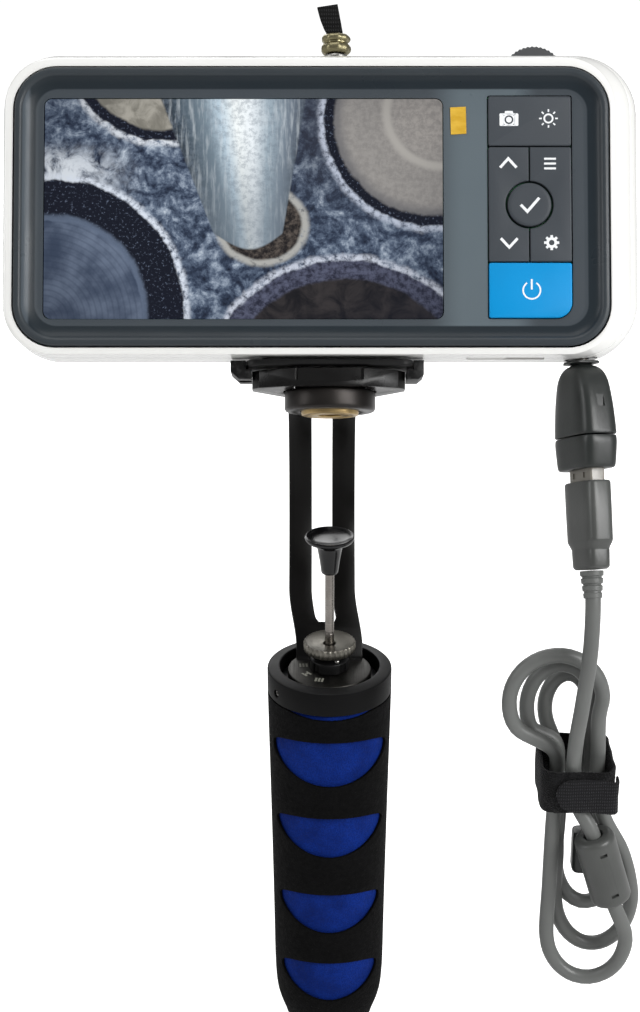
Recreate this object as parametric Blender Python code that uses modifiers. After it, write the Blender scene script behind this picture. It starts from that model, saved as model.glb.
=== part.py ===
"""Hand-held inspection monitor on a slotted arm and a foam-grip handle.

All dimensions are in millimetres and are turned into metres by MM.
World frame: +Z up, the handle's axis is the Z axis, the underside of the
handle is Z = 0, and the screen faces -Y.
Display frame: origin at the underside of the neck nut, x to the right, y away
from the user through the housing, z up the face of the screen. It is tilted
back by TILT about X.
Handle frame: origin on the handle's axis at the collar top, axes as the world.
Adapter frame: z runs along the adapter's axis, which passes through the jack.
"""
import math

import bmesh
import bpy
from mathutils import Matrix, Vector

MM = 0.001

# ------------------------------------------------- dimensions shared by parts
TILT = 26.8            # lean of the display, degrees
HANDLE_TOP = 132.0     # collar top above the base
NECK_Z = 212.5         # underside of the neck nut above the base

PORT_X, PORT_Y = 69.9, -4.0    # axis of the jack
ADAPTER_YAW = -67.0     # the adapter sits turned in its round jack
ADAPTER_LEAN = -2.3     # and leans a little, pivoting in the jack
ADAPTER_PIVOT = 16.5    # height of that pivot, display frame

PLATE_SCREW_Y = -3.0
ARM_T = 2.6
ARM_W = 19.8
ARM_PAD_Z = 7.5        # centre height of the arm's upper pad, display frame
FLOOR_Z = -3.0         # floor of the collar's well, handle frame
CABLE_R = 2.2

# rotations that turn a part's own z axis
UPRIGHT = (0, 0, 0)
FACE_ON = (math.pi / 2, 0, 0)       # z -> -y, and an outline's x,y -> x,z
FACE_BACK = (-math.pi / 2, 0, 0)    # z -> +y
ORIGIN = (0, 0, 0)

# --------------------------------------------------------------- scene setup
for _old in list(bpy.data.objects):
    bpy.data.objects.remove(_old, do_unlink=True)

PARTS = bpy.data.collections.new("guide_camera")
CUTTERS = bpy.data.collections.new("cutters")
bpy.context.scene.collection.children.link(PARTS)
bpy.context.scene.collection.children.link(CUTTERS)


def material(name, rgb, roughness, metallic=0.0):
    mat = bpy.data.materials.new(name)
    mat.use_nodes = True
    inputs = mat.node_tree.nodes["Principled BSDF"].inputs
    inputs["Base Color"].default_value = (*rgb, 1.0)
    inputs["Roughness"].default_value = roughness
    inputs["Metallic"].default_value = metallic
    mat.diffuse_color = (*rgb, 1.0)
    return mat


WHITE = material("shell_white", rgb=(0.86, 0.86, 0.84), roughness=0.25)
SLATE = material("bezel_slate", rgb=(0.055, 0.07, 0.085), roughness=0.45)
KEYGREY = material("key_grey", rgb=(0.07, 0.08, 0.1), roughness=0.6)
BLUE = material("key_blue", rgb=(0.0, 0.3, 0.75), roughness=0.45)
GLASS = material("screen_glass", rgb=(0.05, 0.06, 0.07), roughness=0.08)
BOARD = material("board_green", rgb=(0.02, 0.14, 0.06), roughness=0.5)
DARK = material("black_plastic", rgb=(0.015, 0.015, 0.017), roughness=0.4)
BLACKMETAL = material("black_anodised", rgb=(0.02, 0.02, 0.022), roughness=0.35,
                      metallic=0.6)
STEEL = material("steel", rgb=(0.6, 0.6, 0.58), roughness=0.3, metallic=1.0)
BRASS = material("brass", rgb=(0.62, 0.45, 0.2), roughness=0.35, metallic=1.0)
FOAMBLACK = material("foam_black", rgb=(0.012, 0.012, 0.014), roughness=0.9)
FOAMBLUE = material("foam_blue", rgb=(0.01, 0.04, 0.35), roughness=0.85)
CABLEGREY = material("cable_grey", rgb=(0.11, 0.12, 0.12), roughness=0.55)
LABEL = material("label_gold", rgb=(0.75, 0.42, 0.03), roughness=0.5)
WEB = material("webbing_black", rgb=(0.012, 0.012, 0.012), roughness=0.8)
RUBBER = material("rubber_grey", rgb=(0.12, 0.12, 0.13), roughness=0.7)


# ----------------------------------------------------------- placing objects
def attach(obj, collection, parent, loc, rot):
    """Link an object and hang it on its frame, at a place in millimetres."""
    collection.objects.link(obj)
    obj.parent = parent
    obj.location = Vector(loc) * MM
    obj.rotation_euler = rot
    return obj


def frame_empty(name, loc, rot=UPRIGHT, parent=None):
    return attach(bpy.data.objects.new(name, None), PARTS, parent, loc, rot)


DISPLAY = frame_empty("display_frame", (0, 0, NECK_Z),
                      (-math.radians(TILT), 0, 0))
HANDLE = frame_empty("handle_frame", (0, 0, HANDLE_TOP))
PIVOT = frame_empty("adapter_pivot", (PORT_X, PORT_Y, ADAPTER_PIVOT),
                    (0, math.radians(ADAPTER_LEAN), 0), DISPLAY)
ADAPTER = frame_empty("adapter_frame", (0, 0, -ADAPTER_PIVOT),
                      (0, 0, math.radians(ADAPTER_YAW)), PIVOT)


def place(obj, mat, parent, loc=ORIGIN, rot=UPRIGHT, smooth=None):
    """Attach a visible part; smooth is the angle that stays sharp."""
    attach(obj, PARTS, parent, loc, rot)
    obj.data.materials.append(mat)
    if smooth:
        obj.data.shade_smooth()
        obj.data.set_sharp_from_angle(angle=math.radians(smooth))
    return obj


def cut(target, tool, parent, loc, rot=UPRIGHT, operation='DIFFERENCE'):
    """Attach a hidden tool and apply it to the target as a boolean."""
    attach(tool, CUTTERS, parent, loc, rot)
    tool.hide_render = True
    tool.display_type = 'WIRE'
    boolean = target.modifiers.new("cut", 'BOOLEAN')
    boolean.operation = operation
    boolean.solver = 'EXACT'
    boolean.object = tool


def bore(target, name, radius, depth, segments, loc, parent=DISPLAY, rot=UPRIGHT):
    cut(target, rod(name, radius, radius, depth, segments), parent, loc, rot)


def pocket(target, name, size, loc, parent=DISPLAY):
    cut(target, block(name, size), parent, loc)


def bevel(obj, width, segments):
    edge = obj.modifiers.new("edge", 'BEVEL')
    edge.width = width * MM
    edge.segments = segments
    edge.limit_method = 'ANGLE'
    edge.angle_limit = math.radians(40)


def thicken(obj, thickness, offset):
    solidify = obj.modifiers.new("thick", 'SOLIDIFY')
    solidify.thickness = thickness * MM
    solidify.offset = offset
    return solidify


# ------------------------------------------------------------ basic shapes
def mesh_object(name, bm):
    mesh = bpy.data.meshes.new(name)
    bm.to_mesh(mesh)
    bm.free()
    return bpy.data.objects.new(name, mesh)


def block(name, size):
    """Box centred on its origin."""
    bm = bmesh.new()
    bmesh.ops.create_cube(bm, size=1.0)
    bmesh.ops.scale(bm, vec=Vector(size) * MM, verts=bm.verts)
    return mesh_object(name, bm)


def rod(name, bottom_radius, top_radius, depth, segments):
    """Cylinder or cone along z, centred on its origin."""
    bm = bmesh.new()
    bmesh.ops.create_cone(bm, cap_ends=True, segments=segments,
                          radius1=bottom_radius * MM, radius2=top_radius * MM,
                          depth=depth * MM)
    return mesh_object(name, bm)


def turned(name, segments, profile, closed=False):
    """Shape turned about z from a profile of (radius, height) points.

    Open profiles start and end on the axis; closed ones make a ring.
    """
    mesh = bpy.data.meshes.new(name)
    edges = [(i, i + 1) for i in range(len(profile) - 1)]
    if closed:
        edges.append((len(profile) - 1, 0))
    mesh.from_pydata([(r * MM, 0.0, z * MM) for r, z in profile], edges, [])
    obj = bpy.data.objects.new(name, mesh)
    screw = obj.modifiers.new("turn", 'SCREW')
    screw.axis = 'Z'
    screw.steps = segments
    screw.render_steps = segments
    screw.use_merge_vertices = True
    screw.merge_threshold = 0.00001
    screw.use_smooth_shade = True
    return obj


def ring(name, segments, profile):
    return turned(name, segments, profile, closed=True)


def loft(name, sections, closed=False):
    """Skin over sections of equal point count.

    The first and last section are capped, or joined to each other if closed.
    """
    bm = bmesh.new()
    loops = [[bm.verts.new(Vector(p) * MM) for p in section]
             for section in sections]
    count = len(loops[0])
    following = loops[1:] + loops[:1] if closed else loops[1:]
    for loop, after in zip(loops, following):
        for i in range(count):
            j = (i + 1) % count
            bm.faces.new((loop[i], loop[j], after[j], after[i]))
    if not closed:
        bm.faces.new(list(reversed(loops[0])))
        bm.faces.new(loops[-1])
    bmesh.ops.recalc_face_normals(bm, faces=bm.faces)
    return mesh_object(name, bm)


def new_curve(name, dimensions, points, cyclic=False):
    """Curve object with one straight-sided spline through (x, y, z) points."""
    curve = bpy.data.curves.new(name, 'CURVE')
    curve.dimensions = dimensions
    spline = curve.splines.new('POLY')
    spline.points.add(len(points) - 1)
    for spline_point, (x, y, z) in zip(spline.points, points):
        spline_point.co = (x * MM, y * MM, z * MM, 1.0)
    spline.use_cyclic_u = cyclic
    return bpy.data.objects.new(name, curve)


def curve_to_mesh(name, curve_obj):
    """Turn a filled curve into a closed mesh with its caps welded."""
    bpy.context.scene.collection.objects.link(curve_obj)
    depsgraph = bpy.context.evaluated_depsgraph_get()
    mesh = bpy.data.meshes.new_from_object(curve_obj.evaluated_get(depsgraph))
    bm = bmesh.new()
    bm.from_mesh(mesh)
    bpy.data.meshes.remove(mesh)
    bmesh.ops.remove_doubles(bm, verts=bm.verts, dist=0.00001)
    bmesh.ops.recalc_face_normals(bm, faces=bm.faces)
    curve = curve_obj.data
    bpy.data.objects.remove(curve_obj, do_unlink=True)
    bpy.data.curves.remove(curve)
    return mesh_object(name, bm)


def flat(name, outline, thickness):
    """Flat outline in the xy plane, thickened equally both ways along z."""
    outline_3d = [(x, y, 0.0) for x, y in outline]
    curve_obj = new_curve(name + "_outline", '2D', outline_3d, cyclic=True)
    curve_obj.data.fill_mode = 'BOTH'
    curve_obj.data.extrude = thickness * MM / 2
    return curve_to_mesh(name, curve_obj)


def tube(name, points, radius, resolution):
    curve_obj = new_curve(name + "_path", '3D', points)
    curve_obj.data.bevel_depth = radius * MM
    curve_obj.data.bevel_resolution = resolution
    curve_obj.data.use_fill_caps = True
    return curve_to_mesh(name, curve_obj)


def face_plate(name, outline, front, back, mat):
    """Flat piece parallel to the screen, between two depths front < back."""
    place(flat(name, outline, back - front), mat, DISPLAY,
          (0, (front + back) / 2, 0), FACE_ON)


def level_plate(name, outline, z_range, mat):
    """Flat piece square to the display's z axis, between two heights."""
    bottom, top = z_range
    return place(flat(name, outline, top - bottom), mat, DISPLAY,
                 (0, 0, (bottom + top) / 2))


# ------------------------------------------------------------------ outlines
def clamp01(value):
    return min(1.0, max(0.0, value))


def arc(cx, cy, radius, start, end, steps):
    angles = [math.radians(start + (end - start) * i / steps)
              for i in range(steps + 1)]
    return [(cx + radius * math.cos(a), cy + radius * math.sin(a))
            for a in angles]


def rounded_rect(left, right, bottom, top, radius, steps, lower_right=None):
    """Rounded rectangle, anticlockwise from its lower right corner.

    lower_right is the radius of that one corner, where it differs.
    """
    first = radius if lower_right is None else lower_right
    return (arc(right - first, bottom + first, first, -90, 0, steps)
            + arc(right - radius, top - radius, radius, 0, 90, steps)
            + arc(left + radius, top - radius, radius, 90, 180, steps)
            + arc(left + radius, bottom + radius, radius, 180, 270, steps))


def inset(rect, amount):
    """Shrink a (left, right, bottom, top, radius) rectangle on all sides."""
    left, right, bottom, top, radius = rect
    return (left + amount, right - amount, bottom + amount, top - amount,
            radius - amount)


def superellipse(width, depth, count, power):
    points = []
    for i in range(count):
        angle = 2 * math.pi * i / count
        c, s = math.cos(angle), math.sin(angle)
        points.append((math.copysign(abs(c) ** (2 / power), c) * width / 2,
                       math.copysign(abs(s) ** (2 / power), s) * depth / 2))
    return points


# ------------------------------------------------------------------- housing
# stations of the skin: (y, left, right, bottom, top, corner radius)
SHELL_OUTER = [
    (11.0, -78.0, 73.0, 26.0, 86.0, 9.0),
    (9.6, -84.0, 79.0, 20.0, 92.5, 12.0),
    (6.5, -88.6, 83.4, 15.6, 97.2, 14.0),
    (2.0, -90.8, 85.6, 14.0, 99.4, 16.0),
    (-5.0, -91.3, 85.9, 13.9, 99.8, 16.5),
    (-10.5, -90.6, 83.0, 13.9, 98.6, 15.5),
    (-15.2, -89.7, 78.5, 14.1, 96.7, 13.5),
    (-16.0, -89.1, 77.9, 14.7, 96.1, 13.0),
]
SHELL_INNER = [
    (-16.0, -87.35, 77.05, 15.95, 94.15, 11.95),
    (-12.0, -87.35, 77.05, 15.95, 94.15, 11.95),
    (-11.4, -88.3, 80.4, 16.0, 96.0, 13.0),
    (-5.0, -89.3, 83.9, 16.0, 97.8, 14.5),
    (2.0, -88.8, 83.5, 16.1, 97.3, 14.0),
    (5.6, -86.4, 81.2, 18.0, 95.0, 12.0),
    (8.0, -81.6, 76.6, 22.6, 90.0, 10.0),
    (9.0, -76.0, 71.0, 28.0, 84.0, 7.0),
]
# rectangles: left, right, bottom, top, corner radius
BEZEL = (-87.0, 76.7, 16.3, 93.8, 11.6)
PANEL = (-80.6, 70.6, 22.6, 87.5, 5.4)
SCREEN = (-79.0, 31.25, 23.95, 85.55, 2.2)
KEYPAD = (43.3, 66.75, 24.0, 86.3, 0.6)
PANEL_Y = -14.5
# stations of the bezel: (y, rectangle, inset)
BEZEL_STATIONS = [
    (-12.3, BEZEL, 0.4),
    (-16.1, BEZEL, 0.0),
    (-16.8, BEZEL, 0.4),
    (-17.0, BEZEL, 1.2),        # crest
    (-16.8, BEZEL, 2.2),
    (-15.3, PANEL, -1.2),
    (PANEL_Y, PANEL, 0.0),
]
OPENING_Y = (-18.0, -10.0)      # depth range of the cuts through the bezel
WINDOW_GAP = 0.3
WINDOW_BACK_Y = -13.4

FOCUS = (58.1, 6.0, 96.5)       # centre of the focus wheel
LENS_X, LENS_Y, LENS_Z = 58.1, 9.6, 74.0    # rear lens, on an axis along y
LANYARD = (1.7, -2.0)           # x, y of the strap post
CARD_Y = -8.0                   # middle of the card slot
WALL_CUT_Z = 14.5               # cuts through the bottom wall
BACK_CUT_Y = 10.0               # cuts through the back wall
SCREW_XZ = ((-72.0, 34.0), (66.0, 34.0), (66.0, 54.0), (-72.0, 78.0))
SCREW_HEAD_Y = 10.1

# plain blocks: name, material, size, centre
INNER_BLOCKS = [
    ("main_board", BOARD, (118.0, 1.6, 62.0), (-20.0, -7.4, 55.0)),
    ("key_board", BOARD, (26.0, 1.6, 64.0), (55.0, -11.2, 55.2)),
    ("sensor_board", BOARD, (22.0, 1.6, 24.0), (LENS_X, -1.5, LENS_Z)),
]
# the same with bevelled edges, ending in bevel width and segments
BEVELLED_BLOCKS = [
    ("lcd_panel", DARK, (108.0, 3.2, 58.5), (-23.9, -11.4, 54.75), 0.4, 1),
    ("battery_pack", BLUE, (78.0, 8.0, 52.0), (-30.0, -1.4, 58.0), 1.5, 2),
    ("card_flap", RUBBER, (10.4, 3.8, 1.0), (43.4, CARD_Y, 14.5), 0.2, 1),
]


def build_rear_shell():
    """Hollow rear shell with its openings."""
    sections = [[(row[0], x, z) for x, z in rounded_rect(*row[1:], steps=3)]
                for row in SHELL_OUTER + SHELL_INNER]
    sections = [[(x, y, z) for y, x, z in section] for section in sections]
    shell = place(loft("rear_shell", sections), WHITE, DISPLAY, smooth=35)
    bore(shell, "c_jack", 4.6, 8.0, 24, (PORT_X, PORT_Y, WALL_CUT_Z))
    pocket(shell, "c_card", (21.4, 4.4, 8.0), (48.6, CARD_Y, WALL_CUT_Z))
    pocket(shell, "c_focus", (19.2, 4.8, 20.0), (FOCUS[0], FOCUS[1], 97.0))
    bore(shell, "c_lanyard", 2.3, 8.0, 16, (*LANYARD, 98.5))
    bore(shell, "c_lens", 9.4, 8.0, 32, (LENS_X, BACK_CUT_Y, LENS_Z), rot=FACE_ON)
    bore(shell, "c_plate_screw", 3.5, 8.0, 16, (0, PLATE_SCREW_Y, 15.0))
    for i, (x, z) in enumerate(SCREW_XZ):
        bore(shell, "c_screw_%d" % i, 1.9, 6.0, 12, (x, BACK_CUT_Y, z),
             rot=FACE_ON)


def build_bezel():
    """Front bezel with openings for the screen and the keys."""
    sections = [[(x, y, z) for x, z in rounded_rect(*inset(rect, d), steps=4)]
                for y, rect, d in BEZEL_STATIONS]
    bezel = place(loft("front_bezel", sections), SLATE, DISPLAY, smooth=35)
    front, back = OPENING_Y
    for name, outline in (
            ("c_screen", rounded_rect(*SCREEN, steps=3)),
            ("c_keys", rounded_rect(*KEYPAD, steps=3, lower_right=4.6))):
        cut(bezel, flat(name, outline, back - front), DISPLAY,
            (0, (front + back) / 2, 0), FACE_ON)


def build_display_inside():
    """Screen window, label, boards, battery and the flap below."""
    face_plate("screen_window", rounded_rect(*inset(SCREEN, WINDOW_GAP), steps=3),
               PANEL_Y, WINDOW_BACK_Y, GLASS)
    for name, mat, size, centre in INNER_BLOCKS:
        place(block(name, size), mat, DISPLAY, centre)
    for name, mat, size, centre, width, segments in BEVELLED_BLOCKS:
        bevel(place(block(name, size), mat, DISPLAY, centre), width, segments)
    place(block("status_label", (4.35, 0.35, 7.5)), LABEL, DISPLAY,
          (35.4, -14.98, 79.2), (0, math.radians(1.5), 0))


# ---------------------------------------------------------------------- keys
KEY_GAP = 0.32
KEY_FRONT_Y = -15.1
KEY_BACK_Y = -12.9
KEY_LEFT = KEYPAD[0] + KEY_GAP
KEY_RIGHT = KEYPAD[1] - KEY_GAP
OK_X, OK_Z = 54.85, 55.7        # centre of the round key
OK_R = 6.05
OK_RING_R = 6.5
OK_DEPTH = 2.5
OK_Y = -14.15
# bottom and top of the key rows
TOP_ROW = (72.1, 86.0)
MIDDLE_ROW = (39.9, 71.75)
BOTTOM_ROW = (24.3, 39.55)


def side_key_outline(side):
    """Key beside the round one, scooped round it; side is -1 left, 1 right."""
    scoop_r = OK_RING_R + 0.1
    spread = math.degrees(math.acos(KEY_GAP / 2 / scoop_r))
    inner = OK_X + side * KEY_GAP / 2
    if side < 0:
        outer, facing = KEY_LEFT, 180
        first, last = MIDDLE_ROW
    else:
        outer, facing = KEY_RIGHT, 0
        last, first = MIDDLE_ROW
    return ([(outer, first), (inner, first)]
            + arc(OK_X, OK_Z, scoop_r, facing + spread, facing - spread, 12)
            + [(inner, last), (outer, last)])


def build_keys():
    for name, outline, mat in (
            ("key_photo_light",
             rounded_rect(KEY_LEFT, KEY_RIGHT, *TOP_ROW, 0.5, steps=2), KEYGREY),
            ("key_up_down", side_key_outline(-1), KEYGREY),
            ("key_menu_settings", side_key_outline(1), KEYGREY),
            ("key_power",
             rounded_rect(KEY_LEFT, KEY_RIGHT, *BOTTOM_ROW, 0.5, steps=4,
                          lower_right=4.2), BLUE)):
        face_plate(name, outline, KEY_FRONT_Y, KEY_BACK_Y, mat)
    place(rod("key_ok", OK_R, OK_R - 0.3, OK_DEPTH, 32), KEYGREY, DISPLAY,
          (OK_X, OK_Y, OK_Z), FACE_ON, smooth=30)


# ---------------------------------------- fittings in the walls of the housing
CARD_X = 54.0
# stations of the strap, from the post upwards: (x, y, z, width in x)
STRAP_STATIONS = [(0.0, 0.0, 104.0, 3.6), (-0.15, 0.0, 106.5, 4.2),
                  (-0.9, 0.1, 109.0, 5.2), (-1.7, 0.3, 112.0, 5.6),
                  (-2.4, 0.6, 115.4, 5.8)]
STRAP_T = 1.6
FOCUS_R = 9.15


def build_sockets():
    """Card socket and jack in the bottom wall."""
    card = place(block("card_socket", (9.6, 3.6, 9.0)), STEEL, DISPLAY,
                 (CARD_X, CARD_Y, 19.4))
    pocket(card, "c_card_mouth", (8.4, 1.4, 7.0), (CARD_X, CARD_Y, 16.0))
    place(turned("jack_socket", 20, [
        (0, 22.0), (4.2, 22.0), (4.2, 14.5), (2.1, 14.5), (2.1, 20.0),
        (0, 20.0)]), DARK, DISPLAY, (PORT_X, PORT_Y, 0))


def build_lanyard():
    """Post, ferrule and strap on the top wall."""
    foot = (*LANYARD, 0)
    place(turned("lanyard_post", 12, [
        (0, 103.4), (2.0, 103.4), (2.0, 100.9), (3.4, 100.6), (3.4, 100.1),
        (1.9, 100.1), (1.9, 97.2), (3.2, 97.2), (3.2, 96.0), (0, 96.0)]),
        STEEL, DISPLAY, foot)
    place(ring("lanyard_ferrule", 14, [
        (2.4, 106.6), (3.7, 106.6), (4.1, 105.9), (3.6, 104.8), (4.1, 103.6),
        (4.1, 102.2), (3.6, 101.2), (2.4, 101.2)]), BRASS, DISPLAY, foot)
    sections = []
    for x, y, z, width in STRAP_STATIONS:
        left, right = x - width / 2, x + width / 2
        front, back = y - STRAP_T / 2, y + STRAP_T / 2
        sections.append([(left, front, z), (right, front, z),
                         (right, back, z), (left, back, z)])
    place(loft("lanyard_strap", sections), WEB, DISPLAY, foot)


def build_rear_fittings():
    """Focus wheel in the top wall; lens and screws in the back wall."""
    place(turned("focus_wheel", 24, [
        (0, 2.2), (1.6, 2.2), (1.9, 1.9), (8.5, 1.9), (FOCUS_R, 1.2),
        (FOCUS_R, -1.2), (8.5, -1.9), (1.9, -1.9), (1.6, -2.2), (0, -2.2)]),
        RUBBER, DISPLAY, FOCUS, FACE_ON, smooth=40)
    lens = (LENS_X, LENS_Y, LENS_Z)
    place(ring("lens_barrel", 24, [
        (6.6, 4.5), (8.6, 4.5), (9.0, 4.0), (9.0, -7.5), (5.0, -7.5),
        (5.0, -1.0), (6.6, 0.5)]), DARK, DISPLAY, lens, FACE_BACK)
    place(turned("lens_glass", 24, [
        (0, 2.6), (3.0, 2.3), (6.2, 1.3), (6.2, 0.7), (0, 0.7)]),
        GLASS, DISPLAY, lens, FACE_BACK)
    for i, (x, z) in enumerate(SCREW_XZ):
        place(turned("shell_screw_%d" % (i + 1), 12, [
            (0, 0.9), (1.2, 0.9), (1.55, 0.3), (1.55, -3.2), (0, -3.2)]),
            STEEL, DISPLAY, (x, SCREW_HEAD_Y, z), FACE_BACK)


# ---------------------------------------------------- quick-release mounting
PLATE_LEFT, PLATE_RIGHT, PLATE_FRONT, PLATE_BACK = -23.1, 23.0, -14.0, 14.0
# bottom and top of the stacked layers
BASE_Z = (5.6, 10.45)
PLATE_Z = (11.3, 13.1)
PAD_Z = (13.2, 13.75)
NUT_R = 12.7
NUT_TOP = 5.9
# clamp base outline (x, y)
BASE_OUTLINE = [(-9.2, -15.2), (8.8, -15.2), (18.8, -10.1), (20.8, -7.0),
                (20.8, -1.0), (11.4, 14.2), (-11.8, 14.2), (-21.6, -1.0),
                (-21.6, -7.0), (-19.6, -10.1)]
# jaw sections (x, z), run along y
FIXED_JAW = [(21.2, 8.1), (24.4, 8.1), (25.9, 9.4), (25.9, 13.3),
             (23.4, 13.3), (23.4, 10.75), (21.2, 10.75)]
MOVING_JAW = [(-21.9, 8.1), (-21.9, 10.75), (-23.5, 10.75), (-23.5, 13.2),
              (-27.5, 13.2), (-27.5, 10.2), (-25.2, 8.1)]
JAW_FRONT_Y, JAW_BACK_Y = -10.0, 2.0


def build_quick_plate():
    """Plate, its pad and the screw that holds it to the housing."""
    pad = level_plate("plate_pad", rounded_rect(
        PLATE_LEFT + 4.0, PLATE_RIGHT - 4.0, PLATE_FRONT + 3.5,
        PLATE_BACK - 4.0, 2.5, steps=2), PAD_Z, RUBBER)
    plate = level_plate("quick_plate", rounded_rect(
        PLATE_LEFT, PLATE_RIGHT, PLATE_FRONT, PLATE_BACK, 3.0, steps=2),
        PLATE_Z, BLACKMETAL)
    bore(plate, "c_qp_bore", 3.5, 6.0, 16, (0, PLATE_SCREW_Y, 12.0))
    bore(plate, "c_qp_head", 6.2, 1.6, 24, (0, PLATE_SCREW_Y, 11.35))
    bore(pad, "c_pad_bore", 3.6, 6.0, 16, (0, PLATE_SCREW_Y, 13.4))
    place(turned("plate_screw", 14, [
        (0, 21.0), (2.6, 21.0), (3.05, 20.5), (3.05, 12.35), (3.2, 11.9),
        (5.9, 11.9), (5.9, 11.35), (0, 11.35)]), STEEL, DISPLAY,
        (0, PLATE_SCREW_Y, 0))


def build_clamp():
    """Clamp base and its two jaws."""
    base = level_plate("clamp_base", BASE_OUTLINE, BASE_Z, BLACKMETAL)
    # rest for the nut, channel for the arm's pad, and the stud's seat
    bore(base, "c_base_nut", 13.1, 2.4, 32, (0, 0, 5.1))
    pocket(base, "c_base_channel", (ARM_W + 0.8, 40.0, 4.4), (0, 7.5, 6.9))
    bore(base, "c_base_stud", 3.3, 8.0, 16, (0, 0, 9.0))
    bore(base, "c_base_head", 5.9, 1.8, 24, (0, 0, 10.5))
    for name, outline in (("fixed_jaw", FIXED_JAW), ("moving_jaw", MOVING_JAW)):
        face_plate(name, outline, JAW_FRONT_Y, JAW_BACK_Y, BLACKMETAL)


def build_neck():
    """Nut, brass insert and stud on the neck axis."""
    place(ring("neck_nut", 28, [
        (8.4, NUT_TOP), (NUT_R - 0.3, NUT_TOP), (NUT_R, NUT_TOP - 0.5),
        (NUT_R, 0.5), (NUT_R - 0.5, 0.0), (8.4, 0.0)]), BLACKMETAL, DISPLAY)
    place(ring("brass_insert", 32, [
        (3.4, 5.6), (8.05, 5.6), (8.05, -0.7), (7.6, -1.1), (3.4, -1.1)]),
        BRASS, DISPLAY)
    place(turned("clamp_stud", 14, [
        (0, 10.4), (5.6, 10.4), (5.6, 9.9), (3.05, 9.65), (3.05, 0.9),
        (2.5, 0.4), (0, 0.4)]), STEEL, DISPLAY)


# ----------------------------------------------------------------- the arm
ARM_SLOT_W = 6.1
ARM_START = -9.6       # upper end of the arm, along its pad from the neck axis
ARM_LEAD = 14.0        # straight run behind the neck before the arc
ARM_R = 37.1
ARM_END = -130.0       # heading of the straight run down to the foot
ARM_SHIFT = -2.2       # sideways shift of the middle of the arm
SLOT_HEADING = -35.0   # the slot starts where the arc turns past this heading
SLOT_BOTTOM = HANDLE_TOP + 7.0
FOOT_BEND = 4.0        # radius of the bend into the foot
FOOT_END_Y = -6.0      # where the strip ends inside the foot
FOOT_R = 12.3          # round foot the arm stands on
FOOT_T = 2.7
LEAD_STEPS, ARC_STEPS, RUN_STEPS, BEND_STEPS, FOOT_STEPS = 4, 18, 7, 4, 3


def arm_path():
    """Centre line of the arm from the neck pad to the foot.

    Returns world (x, y, z, heading in degrees) with the sideways shift in x.
    """
    tilt = math.radians(TILT)
    along_y, along_z = math.cos(tilt), -math.sin(tilt)
    pad_y = ARM_PAD_Z * math.sin(tilt)
    pad_z = NECK_Z + ARM_PAD_Z * math.cos(tilt)
    path = []
    for i in range(LEAD_STEPS):
        s = ARM_START + (ARM_LEAD - ARM_START) * i / LEAD_STEPS
        path.append((pad_y + along_y * s, pad_z + along_z * s, -TILT))

    centre_y = pad_y + along_y * ARM_LEAD - ARM_R * math.sin(tilt)
    centre_z = pad_z + along_z * ARM_LEAD - ARM_R * math.cos(tilt)
    for i in range(ARC_STEPS + 1):
        heading = math.radians(-TILT + (ARM_END + TILT) * i / ARC_STEPS)
        path.append((centre_y - ARM_R * math.sin(heading),
                     centre_z + ARM_R * math.cos(heading),
                     math.degrees(heading)))

    # straight run down over the collar's rim
    run_y, run_z = path[-1][:2]
    turn = math.radians(180.0 + ARM_END)
    sin_turn, cos_turn = math.sin(turn), math.cos(turn)
    foot_z = HANDLE_TOP + FLOOR_Z + 0.3 + ARM_T / 2
    drop = run_z - foot_z - FOOT_BEND * (1 - cos_turn)
    bend_y = run_y - drop * cos_turn / sin_turn
    bend_z = run_z - drop
    for i in range(1, RUN_STEPS):
        path.append((run_y + (bend_y - run_y) * i / RUN_STEPS,
                     run_z + (bend_z - run_z) * i / RUN_STEPS, ARM_END))
    # short bend, then flat into the foot
    for i in range(BEND_STEPS + 1):
        angle = turn * (BEND_STEPS - i) / BEND_STEPS
        path.append((bend_y - FOOT_BEND * (sin_turn - math.sin(angle)),
                     bend_z - FOOT_BEND * (math.cos(angle) - cos_turn),
                     -180.0 + math.degrees(angle)))
    flat_y = path[-1][0]
    for i in range(1, FOOT_STEPS + 1):
        path.append((flat_y + (FOOT_END_Y - flat_y) * i / FOOT_STEPS, foot_z,
                     -180.0))

    # the shift eases in over the first 18 degrees and out above the collar
    shifted = []
    for y, z, heading in path:
        ease = (clamp01((-heading - TILT) / 18.0)
                * clamp01((z - HANDLE_TOP - 2.0) / 14.0))
        ease = ease * ease * (3 - 2 * ease)
        shifted.append((ARM_SHIFT * ease, y, z, heading))
    return shifted


def arm_surface():
    """Open strip with a long slot, to be thickened."""
    path = arm_path()
    last = len(path) - 1
    # the two ends are narrowed to round them off
    narrowing = {0: 0.45, 1: 0.9, last - 1: 0.9, last: 0.45}
    columns = (-ARM_W / 2, -ARM_SLOT_W / 2, ARM_SLOT_W / 2, ARM_W / 2)
    bm = bmesh.new()
    rows = []
    for k, (x, y, z, _heading) in enumerate(path):
        width = narrowing.get(k, 1.0)
        rows.append([bm.verts.new(Vector((x + column * width, y, z)) * MM)
                     for column in columns])
    for k in range(last):
        heading = (path[k][3] + path[k + 1][3]) / 2
        height = (path[k][2] + path[k + 1][2]) / 2
        slotted = heading < SLOT_HEADING and height > SLOT_BOTTOM
        for c in range(3):
            if c == 1 and slotted:
                continue
            bm.faces.new((rows[k][c], rows[k + 1][c], rows[k + 1][c + 1],
                          rows[k][c + 1]))
    bmesh.ops.recalc_face_normals(bm, faces=bm.faces)
    return mesh_object("slotted_arm", bm)


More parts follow.
